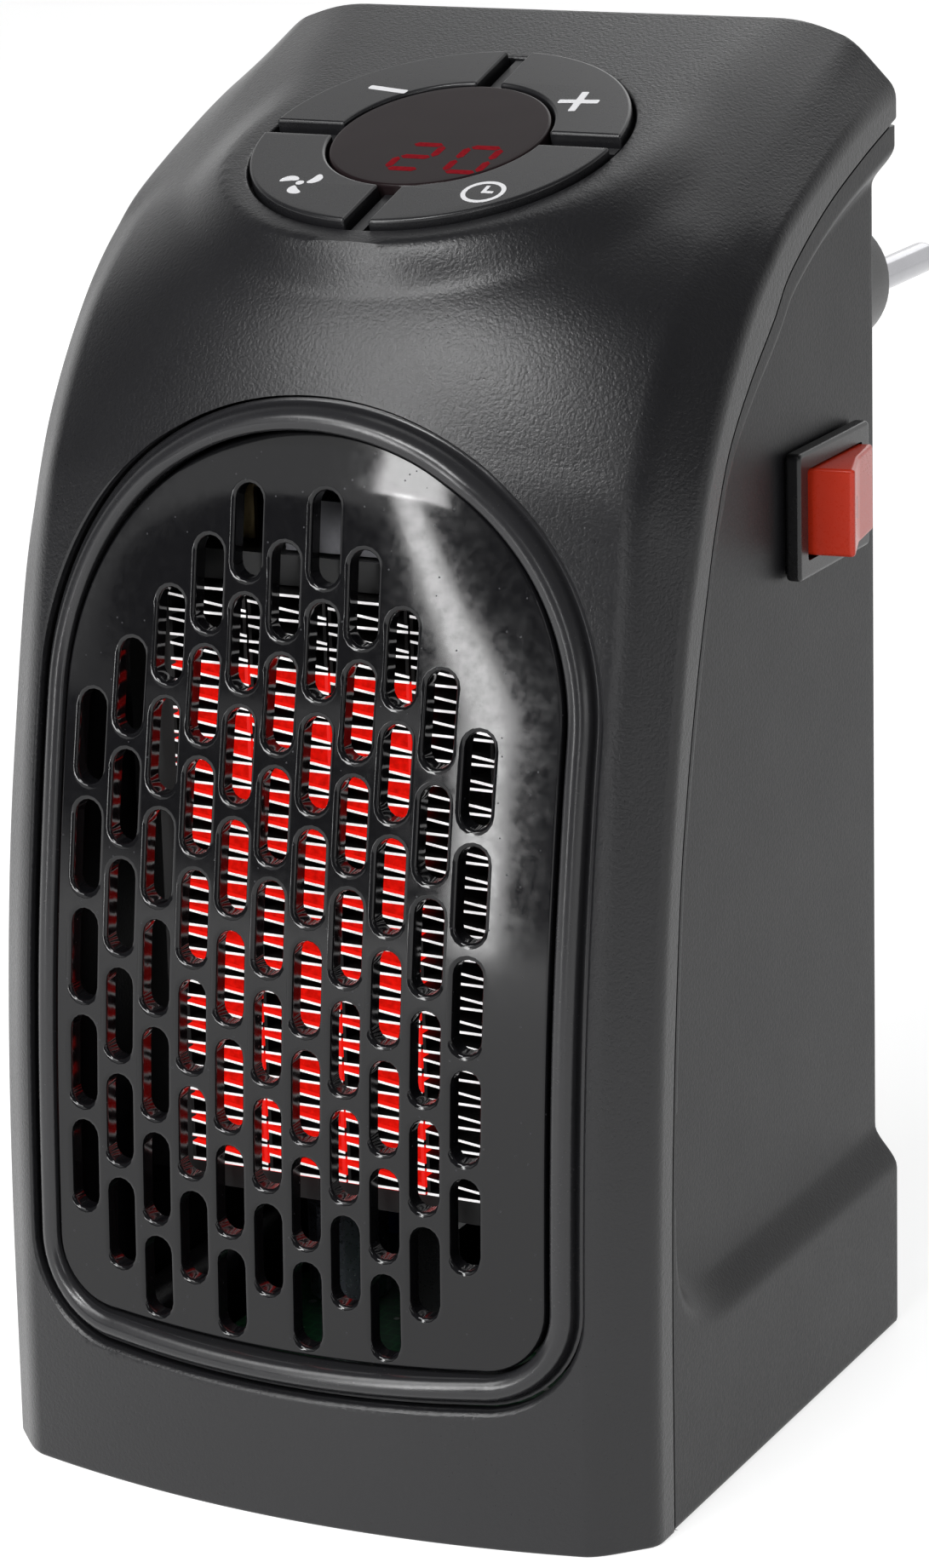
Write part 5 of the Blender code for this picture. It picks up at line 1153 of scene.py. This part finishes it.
class Finish(Graph):
    """A material with a Principled shader, and short ways to the nodes that feed it."""

    def __init__(self, name, **constants):
        self.material = bpy.data.materials.new(name)
        self.material.use_nodes = True
        super().__init__(self.material.node_tree)
        self.shader = self.tree.nodes["Principled BSDF"]
        for socket, value in constants.items():
            self.shader.inputs[socket.replace("_", " ")].default_value = value
        self.place = self.node('ShaderNodeTexCoord', {}, {}, "Object")

    def give(self, **values):
        for socket, value in values.items():
            self.feed(self.shader.inputs[socket.replace("_", " ")], value)

    def noise(self, size, detail, roughness=0.5, stretch=(1.0, 1.0, 1.0)):
        """Noise from 0 to 1 whose grains measure about the given size."""
        place = self.node('ShaderNodeMapping', {}, {"Vector": self.place, "Scale": stretch})
        return self.node('ShaderNodeTexNoise', {}, {"Vector": place, "Scale": 1.0 / size,
                                                    "Detail": detail, "Roughness": roughness})

    def cells(self, size):
        return self.node('ShaderNodeTexVoronoi', {"feature": 'F1'},
                         {"Vector": self.place, "Scale": 1.0 / size}, "Distance")

    def spread(self, factor, low, high):
        """A factor of about 0.3 to 0.7 spread over the range from low to high."""
        return self.node('ShaderNodeMapRange', {}, {"Value": factor, "From Min": 0.3, "From Max": 0.7,
                                                    "To Min": low, "To Max": high})

    def mix(self, factor, first, second):
        return self.node('ShaderNodeMix', {"data_type": 'RGBA'}, {0: factor, 6: first, 7: second}, 2)

    def bump(self, height, distance):
        self.give(Normal=self.node('ShaderNodeBump', {}, {"Height": height, "Distance": distance,
                                                          "Strength": 1.0}))


def tone(colour, factor):
    return (*(channel * factor for channel in colour), 1.0)


def moulded(name, colour, roughness, grain, depth, mottle=0.12, **constants):
    """Moulded plastic: spark-eroded grain, faint mottling and slightly uneven gloss."""
    finish = Finish(name, **constants)
    broad = finish.noise(14.0 * MM, 3.0)
    fine = finish.noise(grain, 3.0, 0.6)
    finish.give(Base_Color=finish.mix(broad, tone(colour, 1.0 - mottle), tone(colour, 1.0 + mottle)),
                Roughness=finish.spread(fine * 0.7 + broad * 0.3, roughness - 0.05, roughness + 0.05))
    finish.bump(fine, depth)
    return finish.material


def polished_plastic(name, colour, roughness, **constants):
    """Glossy plastic: slow waviness, a haze of fine scuffs and sparse specks of dust."""
    finish = Finish(name, **constants)
    wave = finish.noise(9.0 * MM, 1.0)
    haze = finish.noise(1.4 * MM, 5.0, 0.65)
    speck = finish.maths('LESS_THAN', finish.cells(1.6 * MM), 0.07)
    finish.give(Base_Color=finish.mix(speck, tone(colour, 1.0), tone(colour, 4.0)),
                Roughness=finish.spread(haze, roughness * 0.7, roughness * 1.5) + speck * 0.3)
    finish.bump(wave + haze * 0.02, 0.012 * MM)
    return finish.material


def metal(name, colour, roughness, stretch=(1.0, 1.0, 1.0)):
    """Bare metal: drawn lines along one way, and a slightly varied tone."""
    finish = Finish(name, Metallic=1.0)
    lines = finish.noise(0.5 * MM, 4.0, 0.6, stretch)
    stain = finish.noise(6.0 * MM, 3.0)
    finish.give(Base_Color=finish.mix(stain, tone(colour, 0.9), tone(colour, 1.05)),
                Roughness=finish.spread(lines, roughness * 0.75, roughness * 1.3))
    finish.bump(lines, 0.004 * MM)
    return finish.material


def ink(name, colour):
    """Printed ink: nearly flat, with a faint unevenness of coverage."""
    finish = Finish(name)
    cover = finish.noise(0.4 * MM, 3.0)
    finish.give(Base_Color=finish.mix(cover, tone(colour, 0.93), tone(colour, 1.0)),
                Roughness=finish.spread(cover, 0.35, 0.5))
    finish.bump(cover, 0.004 * MM)
    return finish.material


def glowing(name, colour, strength, size, dark):
    """A red glow that varies from spot to spot."""
    finish = Finish(name, Emission_Strength=strength, Roughness=0.8, Specular_IOR_Level=0.0)
    flicker = finish.spread(finish.noise(size, 3.0, 0.6), dark, 1.0)
    finish.give(Base_Color=finish.mix(flicker, (0.0, 0.0, 0.0, 1.0), tone(colour, 0.02)),
                Emission_Color=finish.mix(flicker, tone(colour, dark * 0.4), tone(colour, 1.0)))
    return finish.material


def smoked(name):
    """Dark translucent-looking lens: deep gloss with a faint wave and a haze of wipe marks."""
    finish = Finish(name, Specular_IOR_Level=0.1)
    wipe = finish.noise(2.5 * MM, 4.0, 0.6, (1.0, 4.0, 1.0))
    wave = finish.noise(12.0 * MM, 1.0)
    finish.give(Base_Color=finish.mix(wave, (0.012, 0.008, 0.009, 1.0), (0.02, 0.013, 0.014, 1.0)),
                Roughness=finish.spread(wipe, 0.08, 0.14))
    finish.bump(wave, 0.03 * MM)
    return finish.material


def circuit_board(name):
    """Solder mask over copper tracks, with tinned pads."""
    finish = Finish(name, Coat_Weight=0.3)
    track = finish.node('ShaderNodeTexBrick', {"offset": 0.37},
                        {"Vector": finish.place, "Scale": 180.0, "Mortar Size": 0.03, "Row Height": 0.35,
                         "Color1": (0.003, 0.022, 0.009, 1.0), "Color2": (0.004, 0.03, 0.012, 1.0),
                         "Mortar": (0.008, 0.06, 0.022, 1.0)}, "Color")
    pad = finish.maths('LESS_THAN', finish.cells(3.4 * MM), 0.16)
    finish.give(Base_Color=finish.mix(pad, track, (0.6, 0.6, 0.58, 1.0)), Metallic=pad,
                Roughness=0.45 - pad * 0.15)
    finish.bump(pad, 0.05 * MM)
    return finish.material


def fin_metal(name):
    """Pleated aluminium with painted light: a painted highlight along the front edges of each level and
    slanted leg, and painted shade in the folds.
    """
    finish = Finish(name, Metallic=0.6)
    lines = finish.noise(0.5 * MM, 3.0, 0.6, (1.0, 1.0, 6.0))
    place = finish.node('ShaderNodeSeparateXYZ', {}, {"Vector": finish.place}, "X")
    depth = Socket(finish, place.socket.node.outputs["Y"])
    height = Socket(finish, place.socket.node.outputs["Z"])
    pitch = (FIN_HEIGHT - FIN_SHEET) / FIN_PITCHES
    width = FIN_STRIPS * (FIN_WIDTH + GAP)
    across = finish.maths('FRACT', (place + width / 2.0) * (FIN_STRIPS / width))
    top = ELEMENT_Z + FIN_HEIGHT / 2.0 - FIN_SHEET / 2.0
    fold = finish.maths('FRACT', (top - height) * (1.0 / pitch) + 0.5)
    level = finish.maths('ABSOLUTE', fold - 0.5)
    slant = finish.maths('ABSOLUTE', finish.maths('FRACT', fold + 0.5) - FOLD_SHARES[0]
                         - across * (FOLD_SHARES[1] - FOLD_SHARES[0]))
    edge = finish.maths('LESS_THAN', finish.maths('MINIMUM', level, slant), FIN_HIGHLIGHT_LINE / 2.0 / pitch)
    front = finish.maths('LESS_THAN', depth, ELEMENT_FRONT_Y + 0.1 * MM)
    # Painted highlight: the front edges of the fins, where light would catch them
    lit = edge * front
    below = finish.maths('LESS_THAN', finish.maths('FRACT', fold + 0.5),
                         FOLD_SHARES[0] + across * (FOLD_SHARES[1] - FOLD_SHARES[0]))
    hot = (below * finish.maths('LESS_THAN', place, GLOW_STRIPS * width / FIN_STRIPS - width / 2.0)
           * finish.maths('LESS_THAN', height, top - GLOW_DARK_FOLDS * pitch) * (1.0 - lit))
    heat = finish.mix(hot, (0.0, 0.0, 0.0, 1.0), tone(GLOW_RED, 1.0))
    # Painted light: away from the front edges the aluminium gets a near-black painted shade; along the
    # edges, a pale base and a white emission paint the highlight
    finish.give(Base_Color=finish.mix(lit, (0.012, 0.011, 0.011, 1.0), (0.8, 0.8, 0.8, 1.0)),
                Roughness=finish.spread(lines, 0.35, 0.6),
                Emission_Color=finish.mix(lit, heat, (0.6, 0.59, 0.59, 1.0)))
    finish.shader.inputs["Emission Strength"].default_value = 1.0
    finish.bump(lines, 0.01 * MM)
    return finish.material


# Stage, lights and camera

WHITE = (1.0, 1.0, 1.0, 1.0)
FLOOR_SIZE = 6.0
FLOOR_DROP = 0.02 * MM
FLOOR_GLOW = 0.8
ROOM_LIGHT = 0.07
BACKDROP_LIGHT = 0.2
BACKDROP_WAY = (0.0, 0.9, -0.45)
BACKDROP_EDGES = (-0.2, 0.7)


def make_floor():
    bpy.ops.mesh.primitive_plane_add(size=FLOOR_SIZE, location=(0.0, 0.0, -FLOOR_DROP))
    floor = named("floor")
    finish = Finish("floor_paper", Roughness=0.9)
    fibre = finish.noise(4.0 * MM, 4.0)
    finish.give(Base_Color=finish.mix(fibre, (0.48, 0.48, 0.48, 1.0), (0.52, 0.52, 0.52, 1.0)))
    camera, glossy, through_glass = finish.rays()
    seen = finish.maths('MAXIMUM', camera, finish.maths('MAXIMUM', glossy, through_glass))
    white = finish.node('ShaderNodeEmission', {}, {"Color": WHITE, "Strength": FLOOR_GLOW})
    paper = Socket(finish, finish.shader.outputs[0])
    both = finish.node('ShaderNodeAddShader', {}, {0: paper, 1: white})
    shown = finish.node('ShaderNodeMixShader', {}, {0: seen, 1: paper, 2: both})
    finish.feed(finish.tree.nodes["Material Output"].inputs["Surface"], shown)
    floor.data.materials.append(finish.material)


def make_world():
    """White to the camera; a dim room before the heater, and behind it a backdrop that metal and
    gloss see as white and that lights the rest a little."""
    world = bpy.data.worlds.new("studio")
    world.use_nodes = True
    graph = Graph(world.node_tree)
    camera, glossy, through_glass = graph.rays()
    way = graph.node('ShaderNodeTexCoord', {}, {}, "Generated")
    depth = graph.node('ShaderNodeVectorMath', {"operation": 'DOT_PRODUCT'}, {0: way, 1: BACKDROP_WAY},
                       "Value")
    backdrop = graph.maths('MAXIMUM', graph.maths('MAXIMUM', glossy, through_glass), BACKDROP_LIGHT)
    room = graph.node('ShaderNodeMapRange', {"interpolation_type": 'SMOOTHSTEP'},
                      {"Value": depth, "From Min": BACKDROP_EDGES[0], "From Max": BACKDROP_EDGES[1],
                       "To Min": ROOM_LIGHT, "To Max": backdrop})
    background = graph.tree.nodes["Background"]
    graph.feed(background.inputs["Color"], WHITE)
    graph.feed(background.inputs["Strength"], graph.maths('MAXIMUM', room, camera))
    bpy.context.scene.world = world


LAMP_DISTANCE = 1.6
LAMP_TARGET = Vector((0.0, 0.0, 80.0 * MM))
# Name, azimuth (0 is straight in front) and elevation in degrees, size in metres, power in watts
SOFTBOXES = (("upper_strip", -16.8, 23.0, (0.21, 0.7), 8.0),
             ("lower_strip", -17.2, 4.5, (0.07, 0.44), 1.8),
             ("left_softbox", -33.0, 20.0, (0.73, 0.84), 1.8),
             ("upper_left_softbox", -33.0, 45.0, (0.6, 0.5), 6.0),
             ("brow_softbox", 0.0, 50.0, (0.4, 0.4), 9.0),
             ("right_softbox", 82.0, 7.0, (0.6, 0.3), 1.2),
             ("right_strip", 40.0, 15.0, (0.1, 0.9), 2.2),
             ("back_softbox", 180.0, 60.0, (0.8, 0.8), 2.0),
             ("back_left_softbox", -168.0, 30.0, (0.8, 0.8), 2.0))


def softbox(name, azimuth, elevation, size, power):
    """A rectangular lamp that faces the heater's middle."""
    azimuth *= DEGREE
    elevation *= DEGREE
    way = Vector((math.sin(azimuth) * math.cos(elevation), -math.cos(azimuth) * math.cos(elevation),
                  math.sin(elevation)))
    bpy.ops.object.light_add(type='AREA', location=LAMP_TARGET + way * LAMP_DISTANCE)
    lamp = bpy.context.object
    lamp.name = name
    lamp.rotation_euler = way.to_track_quat('Z', 'Y').to_euler()
    lamp.data.shape = 'RECTANGLE'
    lamp.data.size, lamp.data.size_y = size
    lamp.data.energy = power
    lamp.visible_camera = False


def make_camera():
    bpy.ops.object.camera_add()
    camera = bpy.context.object
    camera.name = "photo_camera"
    camera.data.sensor_fit = 'VERTICAL'
    camera.data.sensor_height = CAMERA_SENSOR
    camera.data.lens = CAMERA_LENS
    camera.data.clip_start = 0.01
    camera.matrix_world = (Matrix.Translation(CAMERA_PLACE) @ Matrix.Rotation(CAMERA_YAW, 4, 'Z')
                           @ Matrix.Rotation(math.pi / 2.0 - CAMERA_PITCH, 4, 'X')
                           @ Matrix.Rotation(CAMERA_ROLL, 4, 'Z'))
    bpy.context.scene.camera = camera


# Assembly

bpy.ops.object.select_all(action='DESELECT')
make_camera()
make_world()
make_floor()
for softbox_settings in SOFTBOXES:
    softbox(*softbox_settings)

HOOD_PLASTIC = moulded("hood_plastic", (0.012, 0.012, 0.0135), 0.31, 0.4 * MM, 0.06 * MM)
CASE_PLASTIC = moulded("case_plastic", (0.012, 0.012, 0.0135), 0.4, 0.4 * MM, 0.04 * MM,
                       Specular_IOR_Level=0.22)
KEY_PLASTIC = moulded("key_plastic", (0.014, 0.014, 0.0155), 0.3, 0.25 * MM, 0.003 * MM)
BEAD_PLASTIC = moulded("bead_plastic", (0.022, 0.022, 0.024), 0.24, 0.5 * MM, 0.01 * MM)
GLOSS_BLACK = polished_plastic("gloss_black", (0.006, 0.006, 0.007), 0.08, Specular_IOR_Level=0.4)
BLACK_PLASTIC = moulded("black_plastic", (0.012, 0.012, 0.013), 0.3, 0.3 * MM, 0.004 * MM)
INNER_PLASTIC = moulded("inner_plastic", (0.01, 0.01, 0.0105), 0.5, 0.5 * MM, 0.01 * MM)
RED_PLASTIC = moulded("red_plastic", (0.9, 0.05, 0.015), 0.3, 0.3 * MM, 0.002 * MM, 0.04)
BROWN_SLEEVE = moulded("brown_sleeve", (0.12, 0.05, 0.02), 0.5, 0.6 * MM, 0.01 * MM)
BLUE_SLEEVE = moulded("blue_sleeve", (0.03, 0.1, 0.4), 0.5, 0.6 * MM, 0.01 * MM)
WHITE_INK = ink("white_ink", (0.85, 0.85, 0.87))
DISPLAY_RED = glowing("display_red", (0.24, 0.012, 0.018), 1.0, 0.5 * MM, 0.6)
HEAT_GLOW = glowing("heat_glow", GLOW_RED, 1.0, 1.0 * MM, 0.45)
SMOKED = smoked("smoked_lens")
BOARD = circuit_board("circuit_board")
FIN_METAL = fin_metal("fin_metal")
STEEL = metal("steel", (0.55, 0.55, 0.56), 0.35)
DARK_STEEL = metal("dark_steel", (0.14, 0.14, 0.15), 0.4)
BRASS = metal("brass", (0.35, 0.27, 0.14), 0.35)
CHROME = metal("chrome", (0.42, 0.42, 0.44), 0.16, (1.0, 0.2, 1.0))
CAN_METAL = metal("can_metal", (0.4, 0.42, 0.5), 0.3)

make_hood(HOOD_PLASTIC)
make_rear_case(CASE_PLASTIC)
make_grille(GLOSS_BLACK)
make_bezel(BEAD_PLASTIC)
for key_quarter, (key_name, key_body) in enumerate((("button_plus", "plus_key"),
                                                    ("button_minus", "minus_key"),
                                                    ("button_speed", "speed_key"),
                                                    ("button_timer", "timer_key"))):
    make_key(key_quarter, key_name, key_body, KEY_PLASTIC)
make_marks(WHITE_INK)
make_window(SMOKED)
make_digits(DISPLAY_RED)
make_switch(BLACK_PLASTIC, RED_PLASTIC, WHITE_INK)
make_plug(BLACK_PLASTIC, CHROME)
make_glow(HEAT_GLOW)
make_keypad_frame(KEY_PLASTIC)

NODE_FINISHES = {"led_display": INNER_PLASTIC, "control_board": BOARD, "power_board": BOARD,
                 "element_frame": INNER_PLASTIC, "thermal_cutout": DARK_STEEL, "fan_duct": INNER_PLASTIC,
                 "fan_rotor": INNER_PLASTIC, "motor_shaft": STEEL, "fan_motor": DARK_STEEL,
                 "relay": BLACK_PLASTIC, "film_capacitor": BLACK_PLASTIC,
                 "smoothing_capacitor": CAN_METAL, "turntable_retainer": INNER_PLASTIC,
                 "wire_live": BROWN_SLEEVE, "wire_switched": BROWN_SLEEVE, "wire_neutral": BLUE_SLEEVE}
NUMBERED_FINISHES = {"tact_switch": DARK_STEEL, "switch_tab": BRASS, "element_terminal": BRASS,
                     "fin_strip": FIN_METAL, "ptc_bar": CAN_METAL, "shell_screw": STEEL}
for node_name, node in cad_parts.items():
    stem = node_name.rstrip("0123456789").rstrip("_")
    node_finish = NODE_FINISHES.get(node_name) or NUMBERED_FINISHES.get(stem)
    if node_finish:
        node.data.materials.clear()
        node.data.materials.append(node_finish)

bpy.context.scene.view_settings.view_transform = 'Standard'
